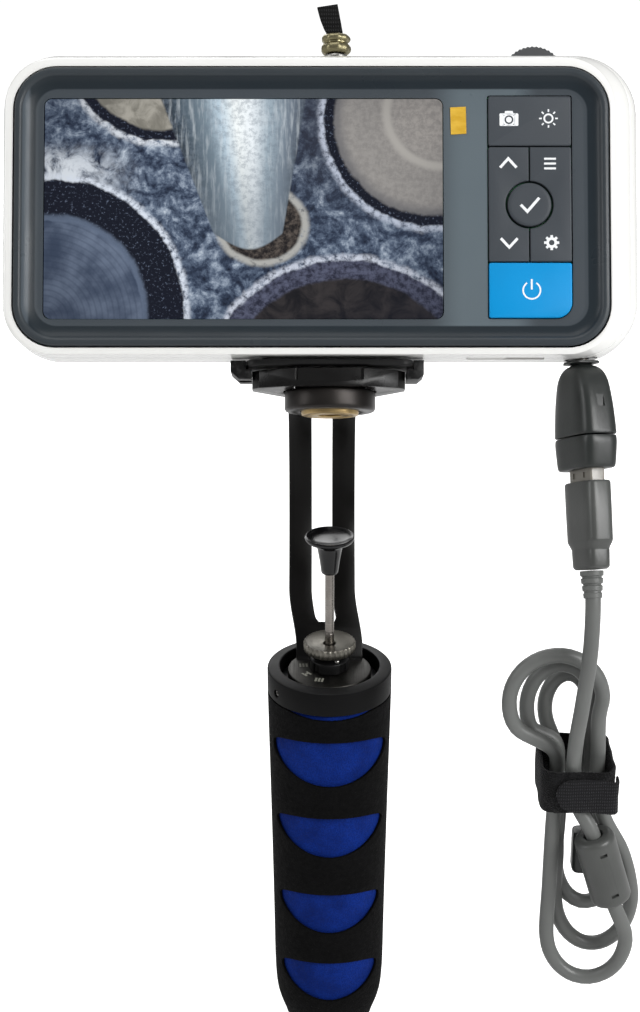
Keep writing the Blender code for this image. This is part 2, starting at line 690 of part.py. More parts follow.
def build_arm():
    arm = place(arm_surface(), BLACKMETAL, None)
    thicken(arm, ARM_T, offset=0.0).use_even_offset = True
    cut(arm, rod("c_arm_foot", FOOT_R, FOOT_R, FOOT_T, 40), HANDLE,
        (0, 0, FLOOR_Z + 0.25 + FOOT_T / 2), operation='UNION')
    bore(arm, "c_arm_stud", 3.4, 8.0, 16, (0, 0, ARM_PAD_Z))
    bore(arm, "c_arm_rod", 1.8, 8.0, 16, (0, 0, FLOOR_Z + 1.65), HANDLE)


# -------------------------------------------------------------------- handle
COLLAR_R = 18.3
WELL_R = 14.7
COLLAR_H = 6.6
SET_SCREW_Z = -3.5
SET_SCREW_ROT = (math.pi / 2, 0, math.radians(-58.4))
FOAM_TOP = -6.9
FOAM_T = 0.7
CORE_R = 12.2
CORE_END = -123.9
HUB_R = 5.6
WHEEL_R = 7.65
WHEEL_BOTTOM, WHEEL_TOP = 6.0, 9.0
ROD_R = 1.33
ROD_TOP = 33.0
CAP_TOP = 42.6
CAP_R = 7.2
# outer sleeve (z, radius): widest under the collar, rolled in at the end
GRIP = [(FOAM_TOP, 18.3), (-20.0, 18.05), (-50.0, 17.45), (-85.0, 16.9),
        (-100.0, 16.75), (-106.0, 16.5), (-110.1, 16.1), (-113.1, 15.4),
        (-115.7, 14.5), (-117.9, 13.7), (-119.4, 13.3)]
# openings of the outer sleeve, front and back: (top, bottom, half angle)
WINDOWS = [(-15.3, -30.3, 66.0), (-41.0, -54.7, 63.0), (-67.7, -81.6, 61.5),
           (-92.3, -106.4, 60.0)]
# mesh columns of the sleeve, degrees either side of the front and the back
GRIP_COLUMNS = (0, 10, 20, 30, 40, 48, 54, 58, 61, 64, 67, 74, 90)
SPRING_R = 2.75
SPRING_TOP = -14.0
SPRING_LENGTH = 31.5
SPRING_STEPS = 63
SPRING_STEPS_PER_TURN = 9


def build_collar():
    collar = place(ring("handle_collar", 32, [
        (WELL_R, 1.0), (WELL_R + 0.3, 1.25), (COLLAR_R - 0.35, 0.75),
        (COLLAR_R, 0.35), (COLLAR_R, -COLLAR_H + 0.4),
        (COLLAR_R - 0.4, -COLLAR_H), (WELL_R, -COLLAR_H)]),
        BLACKMETAL, HANDLE)
    bore(collar, "c_collar_screw", 1.2, 10.0, 12, (-15.6, -9.6, SET_SCREW_Z),
         HANDLE, SET_SCREW_ROT)
    place(rod("collar_set_screw", 0.9, 0.9, 2.6, 8), STEEL, HANDLE,
          (-14.05, -8.64, SET_SCREW_Z), SET_SCREW_ROT)


def build_core():
    """Steel core with its guide bush, and the cap on its lower end."""
    place(ring("handle_core", 28, [
        (2.6, FLOOR_Z), (WELL_R - 0.35, FLOOR_Z), (WELL_R - 0.35, -6.7),
        (CORE_R, -6.7), (CORE_R, CORE_END), (10.2, CORE_END), (10.2, -9.0),
        (2.6, -9.0)]), STEEL, HANDLE)
    place(ring("guide_bush", 14, [
        (1.65, FLOOR_Z - 0.4), (2.3, FLOOR_Z - 0.4), (2.3, -9.3), (5.0, -9.3),
        (5.0, -11.0), (1.65, -11.0)]), BRASS, HANDLE)
    place(turned("end_cap", 32, [
        (0, -120.0), (9.8, -120.0), (9.8, -124.2), (11.8, -124.2),
        (CORE_R, -124.6), (CORE_R, -131.0), (CORE_R - 1.0, -132.0),
        (0, -132.0)]), BLACKMETAL, HANDLE)


def grip_radius(z):
    for (z0, r0), (z1, r1) in zip(GRIP[:-1], GRIP[1:]):
        if z >= z1:
            return r0 + (r1 - r0) * clamp01((z0 - z) / (z0 - z1))
    return GRIP[-1][1]


def window_edges(window, offset):
    """Upper and lower edge of an opening at an angle from its middle.

    Beyond the half angle both edges lie on the opening's middle line.
    """
    top, bottom, half_angle = window
    q = offset / half_angle
    high = top - 2.6 * q * q
    low = bottom + 6.8 * q ** 1.9
    middle = (high + low) / 2
    if q >= 1.0:
        return middle, middle
    spread = (1.0 - q ** 7) ** (1 / 3.0)
    return middle + (high - middle) * spread, middle + (low - middle) * spread


def grip_column_heights(band, offset):
    """Heights of one mesh column, within the band above opening `band`."""
    if band == 0:
        # the front and back of the top edge dip a little
        high = FOAM_TOP - 1.2 * max(0.0, 1 - (offset / 42.0) ** 2)
    else:
        high = window_edges(WINDOWS[band - 1], offset)[1]
    if band == len(WINDOWS):
        return [high] + [z for z, _radius in GRIP[6:]]
    low = window_edges(WINDOWS[band], offset)[0]
    return [high, (high + low) / 2, low]


def grip_surface():
    """Outer sleeve skin: a tapered tube with rounded openings."""
    angles = sorted({(middle + side * a) % 360 for middle in (90, 270)
                     for side in (-1, 1) for a in GRIP_COLUMNS})
    bm = bmesh.new()
    for band in range(len(WINDOWS) + 1):
        columns = []
        for angle in angles:
            offset = min(abs(angle - 270), abs(angle - 90), abs(angle - 450))
            a = math.radians(angle)
            column = []
            for z in grip_column_heights(band, offset):
                r = grip_radius(z)
                point = Vector((r * math.cos(a), r * math.sin(a), z))
                column.append(bm.verts.new(point * MM))
            columns.append(column)
        for here, after in zip(columns, columns[1:] + columns[:1]):
            for j in range(len(here) - 1):
                bm.faces.new((here[j], here[j + 1], after[j + 1], after[j]))
    bmesh.ops.remove_doubles(bm, verts=bm.verts, dist=2e-5)
    bmesh.ops.recalc_face_normals(bm, faces=bm.faces)
    return mesh_object("grip_outer", bm)


def build_grip():
    """Blue inner sleeve seen through the black outer one."""
    bore_r = CORE_R + 0.3
    top = FOAM_TOP - 0.1
    inward = FOAM_T + 0.55
    profile = [(bore_r, top)]
    profile += [(r - inward, min(z, top)) for z, r in GRIP if z > -112.0]
    profile += [(GRIP[7][1] - inward, -112.4), (bore_r, -112.6)]
    place(ring("grip_inner", 36, profile), FOAMBLUE, HANDLE)
    thicken(place(grip_surface(), FOAMBLACK, HANDLE), FOAM_T, offset=-1.0)


def build_plunger():
    """Hub, wheel, rod and cap above the collar; spring and seat inside."""
    place(ring("hub", 24, [
        (1.8, 5.7), (3.4, 5.7), (3.4, 4.2), (HUB_R, 3.4), (HUB_R, 0.25),
        (1.8, 0.25)]), DARK, HANDLE)
    place(ring("lock_wheel", 28, [
        (1.75, WHEEL_BOTTOM + 1.3), (5.6, WHEEL_BOTTOM + 1.4),
        (6.6, WHEEL_TOP), (WHEEL_R - 0.25, WHEEL_TOP),
        (WHEEL_R, WHEEL_TOP - 0.3), (WHEEL_R, WHEEL_BOTTOM + 0.3),
        (WHEEL_R - 0.3, WHEEL_BOTTOM), (1.75, WHEEL_BOTTOM)]), STEEL, HANDLE)
    place(turned("plunger_rod", 12, [
        (0, ROD_TOP), (ROD_R, ROD_TOP), (ROD_R, -12.0), (3.6, -12.2),
        (3.6, -13.4), (ROD_R, -13.6), (ROD_R, -50.0), (0, -50.0)]),
        STEEL, HANDLE)
    place(turned("plunger_cap", 20, [
        (0, CAP_TOP - 0.9), (4.6, CAP_TOP - 0.7), (6.7, CAP_TOP),
        (CAP_R, CAP_TOP - 0.4), (6.9, CAP_TOP - 1.3), (4.4, CAP_TOP - 2.2),
        (3.75, CAP_TOP - 3.2), (2.5, 31.0), (1.6, 31.0),
        (1.6, ROD_TOP + 0.3), (0, ROD_TOP + 0.3)]), DARK, HANDLE)
    coil = []
    for i in range(SPRING_STEPS + 1):
        angle = 2 * math.pi * i / SPRING_STEPS_PER_TURN
        coil.append((SPRING_R * math.cos(angle), SPRING_R * math.sin(angle),
                     SPRING_TOP - SPRING_LENGTH * i / SPRING_STEPS))
    place(tube("return_spring", coil, 0.4, resolution=0), STEEL, HANDLE)
    place(ring("spring_seat", 14, [
        (1.7, -46.4), (9.7, -46.4), (9.7, -48.0), (1.7, -48.0)]),
        STEEL, HANDLE)


# ---------------------------------------------------------- adapter and plug
PLUG_X = 0.2            # axis of the plug, adapter frame
RELIEF_TOP = -44.75     # top of the strain relief below the plug
RELIEF_RIBS = 4
RELIEF_PITCH = 2.05
# moulded bodies, top to bottom: (z, centre x, width, depth)
ADAPTER_SHELL = [
    (13.6, 0.0, 8.4, 8.4), (12.9, 0.0, 8.6, 8.6), (12.7, 0.0, 4.8, 4.8),
    (12.1, 0.0, 7.4, 7.0), (10.4, 0.1, 12.0, 9.2), (7.7, 0.2, 15.6, 10.2),
    (1.7, 0.3, 18.6, 10.9), (-4.0, 0.4, 19.8, 11.4), (-7.4, 0.4, 20.2, 11.6)]
ADAPTER_CAP = [
    (-7.75, 0.4, 20.0, 11.4), (-9.4, 0.4, 20.2, 11.6),
    (-15.6, 0.2, 19.0, 11.0), (-16.6, 0.2, 18.2, 10.2)]
PLUG_BODY = [
    (-20.0, 0.2, 15.2, 7.4), (-20.6, 0.2, 15.8, 8.0), (-36.6, 0.2, 15.6, 7.9),
    (-38.6, 0.2, 12.4, 7.0), (-43.6, 0.2, 11.8, 6.9), (-44.4, 0.2, 9.0, 6.4)]


def moulded_body(name, stations, power):
    """Body of superellipse sections; a higher power is squarer."""
    sections = [[(cx + x, y, z) for x, y in superellipse(width, depth, 20, power)]
                for z, cx, width, depth in stations]
    return place(loft(name, sections), CABLEGREY, ADAPTER, smooth=35)


def build_adapter():
    """Jack tip, two-part adapter body and its rectangular metal shell."""
    place(turned("adapter_tip", 14, [
        (0, 19.4), (0.9, 19.4), (1.75, 18.4), (1.75, 13.95), (0, 13.95)]),
        STEEL, ADAPTER)
    moulded_body("adapter_shell", ADAPTER_SHELL, power=4.2)
    cap = moulded_body("adapter_cap", ADAPTER_CAP, power=4.2)
    pocket(cap, "c_usb_mouth", (12.8, 5.4, 16.0), (PLUG_X, 0, -16.5), ADAPTER)
    usb = place(block("usb_shell", (12.0, 4.5, 11.4)), STEEL, ADAPTER,
                (PLUG_X, 0, -14.8))
    pocket(usb, "c_usb_inner", (11.2, 3.7, 8.0), (PLUG_X, 0, -7.4), ADAPTER)


def build_plug():
    """Plug body and the ribbed strain relief threaded on the cable."""
    plug = moulded_body("plug_body", PLUG_BODY, power=4.5)
    pocket(plug, "c_plug_mouth", (12.3, 4.8, 2.0), (PLUG_X, 0, -20.0), ADAPTER)
    ribs = []
    for k in range(RELIEF_RIBS):
        z = RELIEF_TOP - RELIEF_PITCH * k
        r = 3.35 - 0.22 * k
        ribs += [(r, z), (r - 0.1, z - 1.45)]
        if k < RELIEF_RIBS - 1:
            ribs += [(r - 0.55, z - 1.55), (r - 0.6, z - 1.95)]
    bore_r = CABLE_R + 0.25
    profile = [(bore_r, RELIEF_TOP)] + ribs + [(bore_r, ribs[-1][1])]
    place(ring("strain_relief", 12, profile), CABLEGREY, ADAPTER, (PLUG_X, 0, 0))


# --------------------------------------------------------------------- cable
# ends of the cable's run through the ferrite, from the collar top
FERRITE_ENDS = ((76.2, -29.6, -38.7), (82.8, -29.6, -60.7))
FERRITE_R = 6.0
FERRITE_HALF = 11.3
TIE_RECT = (60.5, 81.9, -31.6, -7.6, 4.0)   # left, right, front, back, radius
TIE_T = 0.9
TIE_TOP, TIE_BOTTOM = HANDLE_TOP - 17.2, HANDLE_TOP - 30.8


def collar_to_world(point):
    x, y, z = point
    return (x, y, z + HANDLE_TOP)


def adapter_to_world(point):
    display = (Matrix.Translation((0, 0, NECK_Z))
               @ Matrix.Rotation(-math.radians(TILT), 4, 'X'))
    pivot = (Matrix.Translation((PORT_X, PORT_Y, ADAPTER_PIVOT))
             @ Matrix.Rotation(math.radians(ADAPTER_LEAN), 4, 'Y'))
    adapter = (Matrix.Translation((0, 0, -ADAPTER_PIVOT))
               @ Matrix.Rotation(math.radians(ADAPTER_YAW), 4, 'Z'))
    return display @ pivot @ adapter @ Vector(point)


def lobe(cx, cz, half_width, half_height, start, end, y0, y1, steps):
    """Part of an upright oval of the coil, between two angles in degrees."""
    points = []
    for i in range(steps + 1):
        t = i / steps
        angle = math.radians(start + (end - start) * t)
        points.append((cx + half_width * math.cos(angle), y0 + (y1 - y0) * t,
                       cz + half_height * math.sin(angle)))
    return points


# control points of the coil below the plug, from the collar top
COIL = (
    # front strand, through the tie and the ferrite, and its lower loop
    [(72.4, -30.6, 20.0), (71.0, -30.6, 4.0), (69.9, -29.2, -9.0),
     (69.9, -27.8, -20.0), (71.5, -27.7, -30.0), (75.7, -29.6, -37.7),
     (79.5, -29.6, -49.7), (83.1, -29.6, -61.6)]
    + lobe(76.2, -76.0, 11.4, 14.5, 10, -172, -29.0, -23.6, 8)
    + [(65.0, -22.8, -60.0), (65.2, -22.4, -42.0), (65.5, -22.2, -25.0),
       (64.9, -22.2, -15.6)]
    # first upper loop, the widest, and the second lower one
    + lobe(64.6, 0.5, 13.4, 14.6, 215, -20, -22.0, -21.0, 9)
    + [(77.4, -21.6, -16.0), (77.6, -22.2, -28.0), (80.4, -22.2, -38.0),
       (86.0, -22.0, -49.0)]
    + lobe(78.6, -66.0, 11.2, 17.0, 22, -175, -21.4, -17.8, 8)
    + [(67.4, -17.4, -52.0), (66.8, -17.0, -38.0), (66.6, -16.8, -25.0),
       (65.4, -16.8, -15.2)]
    # second upper loop and the third lower one
    + lobe(66.4, -3.4, 9.6, 13.0, 215, -20, -16.8, -15.9, 8)
    + [(76.2, -16.2, -16.0), (76.6, -16.9, -28.0), (79.2, -17.0, -38.0)]
    + lobe(76.6, -57.0, 8.8, 14.6, 30, -172, -16.6, -12.6, 8)
    + [(68.2, -12.0, -42.0), (67.8, -11.6, -28.0), (65.8, -11.6, -18.0)]
    # third upper loop and the tail
    + lobe(69.0, -6.4, 6.4, 10.4, 205, -15, -11.6, -10.9, 8)
    + [(76.0, -11.2, -18.0), (76.2, -11.6, -28.0), (77.0, -11.6, -40.0),
       (77.4, -11.6, -48.0)])


def spline_through(control, step):
    """Centripetal Catmull-Rom curve through the control points, sampled
    about every `step` millimetres."""
    points = [Vector(c) for c in control]
    points = ([points[0] * 2 - points[1]] + points
              + [points[-1] * 2 - points[-2]])

    def blend(start, end, t_start, t_end, t):
        span = t_end - t_start
        return start * ((t_end - t) / span) + end * ((t - t_start) / span)

    samples = []
    for p0, p1, p2, p3 in zip(points, points[1:], points[2:], points[3:]):
        t0 = 0.0
        t1 = t0 + (p1 - p0).length ** 0.5
        t2 = t1 + (p2 - p1).length ** 0.5
        t3 = t2 + (p3 - p2).length ** 0.5
        count = max(1, round((p2 - p1).length / step))
        for k in range(count):
            t = t1 + (t2 - t1) * k / count
            a1 = blend(p0, p1, t0, t1, t)
            a2 = blend(p1, p2, t1, t2, t)
            a3 = blend(p2, p3, t2, t3, t)
            b1 = blend(a1, a2, t0, t2, t)
            b2 = blend(a2, a3, t1, t3, t)
            samples.append(blend(b1, b2, t1, t2, t))
    samples.append(points[-2])
    return samples


def build_cable():
    """Coiled cable and the plug at its far end."""
    control = [adapter_to_world((PLUG_X, 0.0, RELIEF_TOP)),
               adapter_to_world((PLUG_X, 0.0, -53.5))]
    control += [collar_to_world(point) for point in COIL]
    place(tube("cable", spline_through(control, step=5.2), CABLE_R, resolution=1),
          CABLEGREY, None, smooth=60)
    far_plug = place(block("far_plug", (9.6, 6.0, 14.0)), CABLEGREY, None,
                     (77.4, -10.9, HANDLE_TOP - 55.5))
    bevel(far_plug, 1.2, 2)


def build_ferrite():
    top, bottom = [Vector(collar_to_world(end)) for end in FERRITE_ENDS]
    bore_r = CABLE_R + 0.45
    core = ring("ferrite_core", 14, [
        (bore_r, FERRITE_HALF), (5.1, FERRITE_HALF), (FERRITE_R, 10.5),
        (FERRITE_R, -10.5), (5.1, -FERRITE_HALF), (bore_r, -FERRITE_HALF)])
    place(core, CABLEGREY, None)
    turn = (bottom - top).normalized().to_track_quat('Z', 'Y')
    core.matrix_world = (Matrix.Translation((top + bottom) / 2 * MM)
                         @ turn.to_matrix().to_4x4())


def build_tie():
    """Band wrapped round the seven strands."""
    outer = rounded_rect(*TIE_RECT, steps=3)
    inner = rounded_rect(*inset(TIE_RECT, TIE_T), steps=3)
    loops = ((TIE_TOP, outer), (TIE_BOTTOM, outer), (TIE_BOTTOM, inner),
             (TIE_TOP, inner))
    sections = [[(x, y, z) for x, y in loop] for z, loop in loops]
    place(loft("cable_tie", sections, closed=True), WEB, None)


# --------------------------------------------------------------------- build
for _build in (
        build_rear_shell, build_bezel, build_display_inside, build_keys,
        build_sockets, build_lanyard, build_rear_fittings,
        build_quick_plate, build_clamp, build_neck, build_arm,
        build_collar, build_core, build_grip, build_plunger,
        build_adapter, build_plug, build_cable, build_ferrite, build_tie):
    _build()
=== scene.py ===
"""Looks for a hand-held inspection display: a screen on a slotted arm above a foam grip.

The handle stands upright on the world z axis, with the end cap at the bottom. The display
leans back above it and its screen faces the user, who is on the -y side. The pieces are built
in millimetres, in the frames below, and each frame scales them to metres.
Lathe profiles are lists of (radius, z).
"""
import math
from functools import cached_property

import bmesh
import bpy
import numpy as np
from mathutils import Matrix, Vector


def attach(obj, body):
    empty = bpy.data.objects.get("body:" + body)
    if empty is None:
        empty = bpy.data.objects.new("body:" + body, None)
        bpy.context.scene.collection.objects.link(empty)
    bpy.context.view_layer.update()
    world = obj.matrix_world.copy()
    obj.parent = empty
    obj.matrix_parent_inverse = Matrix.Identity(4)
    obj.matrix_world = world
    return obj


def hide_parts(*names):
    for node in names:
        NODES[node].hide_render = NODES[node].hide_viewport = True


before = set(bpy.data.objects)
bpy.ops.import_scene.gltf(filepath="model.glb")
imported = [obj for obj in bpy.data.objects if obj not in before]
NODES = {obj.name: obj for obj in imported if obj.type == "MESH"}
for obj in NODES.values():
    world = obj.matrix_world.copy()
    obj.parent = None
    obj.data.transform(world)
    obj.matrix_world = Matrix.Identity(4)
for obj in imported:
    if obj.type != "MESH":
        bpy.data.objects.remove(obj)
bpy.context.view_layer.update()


# ------------------------------------------------------------------- frames
def shift(x, y, z):
    return Matrix.Translation((x, y, z))


def turn(degrees, axis):
    return Matrix.Rotation(math.radians(degrees), 4, axis)


TILT = 26.8                     # degrees the display leans back
COLLAR_Z = 132.0                # height of the handle frame, near the collar's rim
NECK_Z = 212.5                  # height of the display frame's origin
PORT_X, PORT_Y = 69.9, -4.0     # round jack under the display
PORT_PIVOT = 16.5               # height in the jack about which the adapter is tipped

WORLD = Matrix.Scale(0.001, 4)
DISPLAY = shift(0, 0, NECK_Z / 1000) @ turn(-TILT, 'X') @ WORLD
HANDLE = shift(0, 0, COLLAR_Z / 1000) @ WORLD
ADAPTER = DISPLAY @ shift(PORT_X, PORT_Y, PORT_PIVOT) @ turn(-2.3, 'Y') \
    @ shift(0, 0, -PORT_PIVOT) @ turn(-67.0, 'Z')


def face_on(x, y, z):
    """Display frame moved, with local z turned towards the user (-y)."""
    return DISPLAY @ shift(x, y, z) @ turn(90, 'X')


def face_back(x, y, z):
    """Display frame moved, with local z turned away from the user (+y)."""
    return DISPLAY @ shift(x, y, z) @ turn(-90, 'X')


# ----------------------------------------------------------------- materials
MATERIALS = {}
SURFACE_INPUTS = {
    "color": "Base Color", "rough": "Roughness", "metal": "Metallic",
    "coat": "Coat Weight", "coat_rough": "Coat Roughness", "sheen": "Sheen Weight",
    "sheen_rough": "Sheen Roughness", "spec": "Specular IOR Level",
    "emit": "Emission Color", "emit_power": "Emission Strength", "normal": "Normal"}


class Shader:
    """Builds one procedural material, kept in MATERIALS under its short name."""

    def __init__(self, name):
        material = bpy.data.materials.new("mat_" + name)
        material.use_nodes = True
        self.tree = material.node_tree
        self.tree.nodes.clear()
        output = self.tree.nodes.new('ShaderNodeOutputMaterial')
        self.bsdf = self.tree.nodes.new('ShaderNodeBsdfPrincipled')
        self.tree.links.new(self.bsdf.outputs[0], output.inputs[0])
        MATERIALS[name] = material

    def feed(self, value, socket):
        """Link a socket, or set a plain value; colours gain an alpha of one."""
        if hasattr(value, "is_output"):
            self.tree.links.new(value, socket)
        elif isinstance(value, tuple) and len(value) == 3 and len(socket.default_value) == 4:
            socket.default_value = (*value, 1.0)
        else:
            socket.default_value = value

    def node(self, kind, output=0, inputs=None, **settings):
        made = self.tree.nodes.new('ShaderNode' + kind)
        for setting, value in settings.items():
            setattr(made, setting, value)
        for socket, value in (inputs or {}).items():
            self.feed(value, made.inputs[socket])
        return made.outputs[output]

    def surface(self, **values):
        for short_name, value in values.items():
            self.feed(value, self.bsdf.inputs[SURFACE_INPUTS[short_name]])

    @cached_property
    def place(self):
        """Object coordinates, in metres."""
        return self.node('TexCoord', 'Object')

    def stretch(self, vector, scale):
        return self.node('Mapping', inputs={'Scale': scale, 'Vector': vector})

    def split(self, vector):
        x = self.node('SeparateXYZ', inputs={0: vector})
        return x.node.outputs[0], x.node.outputs[1], x.node.outputs[2]

    def math(self, operation, a, b=0.0):
        return self.node('Math', inputs={0: a, 1: b, 2: 0.0}, operation=operation)

    def plus(self, a, b):
        return self.math('ADD', a, b)

    def minus(self, a, b):
        return self.math('SUBTRACT', a, b)

    def times(self, a, b):
        return self.math('MULTIPLY', a, b)

    def noise(self, scale, detail=3.0, rough=0.55, warp=0.0, at=None):
        return self.node('TexNoise', inputs={
            'Scale': scale, 'Detail': detail, 'Roughness': rough, 'Distortion': warp,
            'Vector': at or self.place})

    def cells(self, scale, feature='F1', random=1.0, at=None):
        return self.node('TexVoronoi', 'Distance', feature=feature, inputs={
            'Scale': scale, 'Randomness': random, 'Vector': at or self.place})

    def wave(self, scale, direction):
        return self.node('TexWave', 'Fac', bands_direction=direction,
                         inputs={'Scale': scale, 'Vector': self.place})

    def ramp(self, factor, stops):
        """Colour ramp; stops are (position, colour)."""
        output = self.node('ValToRGB', inputs={0: factor})
        elements = output.node.color_ramp.elements
        while len(elements) < len(stops):
            elements.new(0.5)
        for element, (position, color) in zip(elements, stops):
            element.position = position
            element.color = (*color, 1.0)
        return output

    def mix(self, factor, a, b):
        return self.node('Mix', 2, {0: factor, 6: a, 7: b}, data_type='RGBA')

    def fade(self, value, over=(0.3, 0.7), to=(0.0, 1.0), kind='SMOOTHSTEP'):
        """Map the span `over` onto the span `to`."""
        return self.node('MapRange', inputs=dict(enumerate((value, *over, *to))),
                         interpolation_type=kind)

    def band(self, value, rise, fall):
        """One between two fades, zero outside them."""
        return self.times(self.fade(value, over=rise), self.fade(value, over=fall))

    def bump(self, height, strength, depth, below=None):
        inputs = {'Strength': strength, 'Distance': depth, 'Height': height}
        if below is not None:
            inputs['Normal'] = below
        return self.node('Bump', inputs=inputs)


def scaled(color, factor):
    return tuple(c * factor for c in color)


def moulded(name, color, rough, grain, relief, vary, coat=0.0, dust=0.0, spec=0.5):
    """Moulded plastic or rubber with a fine grain and a little dust."""
    look = Shader(name)
    patches = look.noise(scale=35.0)
    fine = look.noise(scale=grain, detail=2.0)
    dark = tuple(max(0.0, c * (1 - vary)) for c in color)
    light = tuple(min(1.0, c * (1 + vary)) for c in color)
    shade = look.mix(look.fade(patches), dark, light)
    if dust:
        specks = look.fade(look.noise(scale=120.0, detail=5.0), over=(0.55, 0.8))
        shade = look.mix(look.times(specks, dust), shade,
                         tuple(min(1.0, c + 0.12) for c in color))
    smear = look.fade(look.noise(scale=60.0, detail=4.0), to=(rough - 0.05, rough + 0.07))
    look.surface(color=shade, rough=smear, coat=coat, coat_rough=0.12, spec=spec,
                 normal=look.bump(fine, strength=relief, depth=0.0001))


def black_metal(name, color, rough, wear, metal, spec):
    """Blasted black metal, greyed along its edges."""
    look = Shader(name)
    blast = look.noise(scale=5200.0, detail=2.0)
    patches = look.noise(scale=70.0)
    edges = look.times(
        look.fade(look.node('NewGeometry', 'Pointiness'), over=(0.53, 0.64)),
        look.fade(look.noise(scale=700.0, detail=4.0), over=(0.46, 0.62)))
    shade = look.mix(look.fade(patches), color, scaled(color, 1.7))
    shade = look.mix(look.times(edges, wear), shade, (0.06, 0.06, 0.06))
    look.surface(color=shade, metal=metal, spec=spec,
                 rough=look.fade(patches, over=(0.25, 0.75), to=(rough - 0.06, rough + 0.1)),
                 normal=look.bump(blast, strength=0.16, depth=0.00006))


# stretch of the noise that draws tool rings across each axis
RING_STRETCH = {'X': (60.0, 2.0, 2.0), 'Y': (2.0, 60.0, 2.0), 'Z': (2.0, 2.0, 60.0)}


def turned_metal(name, color, rough, axis, ring_scale):
    """Bare turned metal with fine tool rings."""
    look = Shader(name)
    rings = look.noise(scale=ring_scale, detail=4.0,
                       at=look.stretch(look.place, RING_STRETCH[axis]))
    stain = look.noise(scale=260.0, detail=4.0)
    look.surface(color=look.mix(look.fade(stain, over=(0.35, 0.75)),
                                scaled(color, 0.78), color),
                 metal=1.0,
                 rough=look.fade(rings, over=(0.2, 0.8), to=(rough - 0.06, rough + 0.14)),
                 normal=look.bump(rings, strength=0.12, depth=0.00005))


def foam(name, color, light):
    look = Shader(name)
    pores = look.cells(scale=2100.0)
    grain = look.noise(scale=800.0)
    patches = look.noise(scale=90.0)
    shade = look.mix(look.fade(patches), color, light)
    # painted shade: the pores darkened towards their middles, where the bump sinks pits
    shade = look.mix(look.fade(pores, over=(0.1, 0.75), to=(0.45, 0.0)), shade,
                     scaled(color, 0.35))
    pits = look.bump(pores, strength=0.55, depth=0.00025)
    look.surface(color=shade, spec=0.1,
                 rough=look.fade(grain, over=(0.2, 0.8), to=(0.75, 0.95)),
                 normal=look.bump(grain, strength=0.3, depth=0.0002, below=pits))


YARN_SCALE = 1500.0 / 6.28      # base scale of the yarn waves in webbing


def woven(name, color, light):
    """Ribbed webbing: two crossing sets of yarns."""
    look = Shader(name)
    yarns = look.times(look.wave(scale=YARN_SCALE * 2, direction='X'),
                       look.wave(scale=YARN_SCALE * 1.3, direction='Z'))
    fuzz = look.noise(scale=4200.0)
    ribs = look.bump(yarns, strength=0.7, depth=0.0003)
    look.surface(color=look.mix(look.fade(yarns, over=(0.1, 0.8)), color, light),
                 rough=0.85, sheen=0.1, sheen_rough=0.4, spec=0.15,
                 normal=look.bump(fuzz, strength=0.35, depth=0.0001, below=ribs))


def loop_tape_material():
    """Loop side of hook-and-loop tape."""
    look = Shader("loop_tape")
    light = (0.02, 0.02, 0.022)
    loops = look.cells(scale=1900.0, feature='SMOOTH_F1',
                       at=look.stretch(look.place, (1, 1, 1.6)))
    fuzz = look.noise(scale=3600.0, detail=5.0, rough=0.7, warp=0.6)
    patches = look.noise(scale=220.0, detail=4.0)
    shade = look.mix(look.fade(fuzz, over=(0.42, 0.72)), (0.003, 0.003, 0.003), light)
    shade = look.mix(look.fade(patches, over=(0.45, 0.75), to=(0.0, 0.6)), shade, light)
    pile = look.bump(loops, strength=0.6, depth=0.0005)
    look.surface(color=shade, rough=0.95, sheen=0.12, sheen_rough=0.35, spec=0.1,
                 normal=look.bump(fuzz, strength=0.8, depth=0.0006, below=pile))


def bezel_material():
    """One moulding: painted light on its flat, painted shade on its crest and dished sides.
    """
    look = Shader("bezel")
    x, y, z = look.split(look.place)
    cos_tilt, sin_tilt = math.cos(math.radians(TILT)), math.sin(math.radians(TILT))
    # y in the display frame, in metres
    depth = look.minus(look.times(y, cos_tilt), look.times(z, sin_tilt))
    depth = look.plus(depth, NECK_Z / 1000 * sin_tilt)
    flat = look.fade(depth, over=(-0.01475, -0.01462))
    crest = look.fade(depth, over=(-0.01615, -0.01665))
    patches = look.noise(scale=35.0)
    grain = look.noise(scale=2600.0, detail=2.0)
    # painted shade on the sides and crest, painted light on the flat, as lit from the front
    side_painted_shade = look.mix(patches, (0.014, 0.02, 0.026), (0.019, 0.026, 0.032))
    crest_painted_shade = look.mix(patches, (0.034, 0.041, 0.047), (0.042, 0.05, 0.057))
    flat_painted_light = look.mix(patches, (0.05, 0.06, 0.07), (0.058, 0.069, 0.08))
    # pale strip between the screen and the keys
    strip = look.band(x, rise=(0.026, 0.037), fall=(0.058, 0.05))
    flat_painted_light = look.mix(strip, flat_painted_light, (0.105, 0.132, 0.15))
    # painted highlight: a pale line down the left side
    left = look.band(x, rise=(-0.0823, -0.0832), fall=(-0.0858, -0.0848))
    side_painted_shade = look.mix(left, side_painted_shade, (0.07, 0.085, 0.1))
    shade = look.mix(flat, look.mix(crest, side_painted_shade, crest_painted_shade), flat_painted_light)
    look.surface(color=shade, spec=0.2,
                 rough=look.fade(look.noise(scale=60.0, detail=4.0), to=(0.27, 0.36)),
                 normal=look.bump(grain, strength=0.16, depth=0.0001))


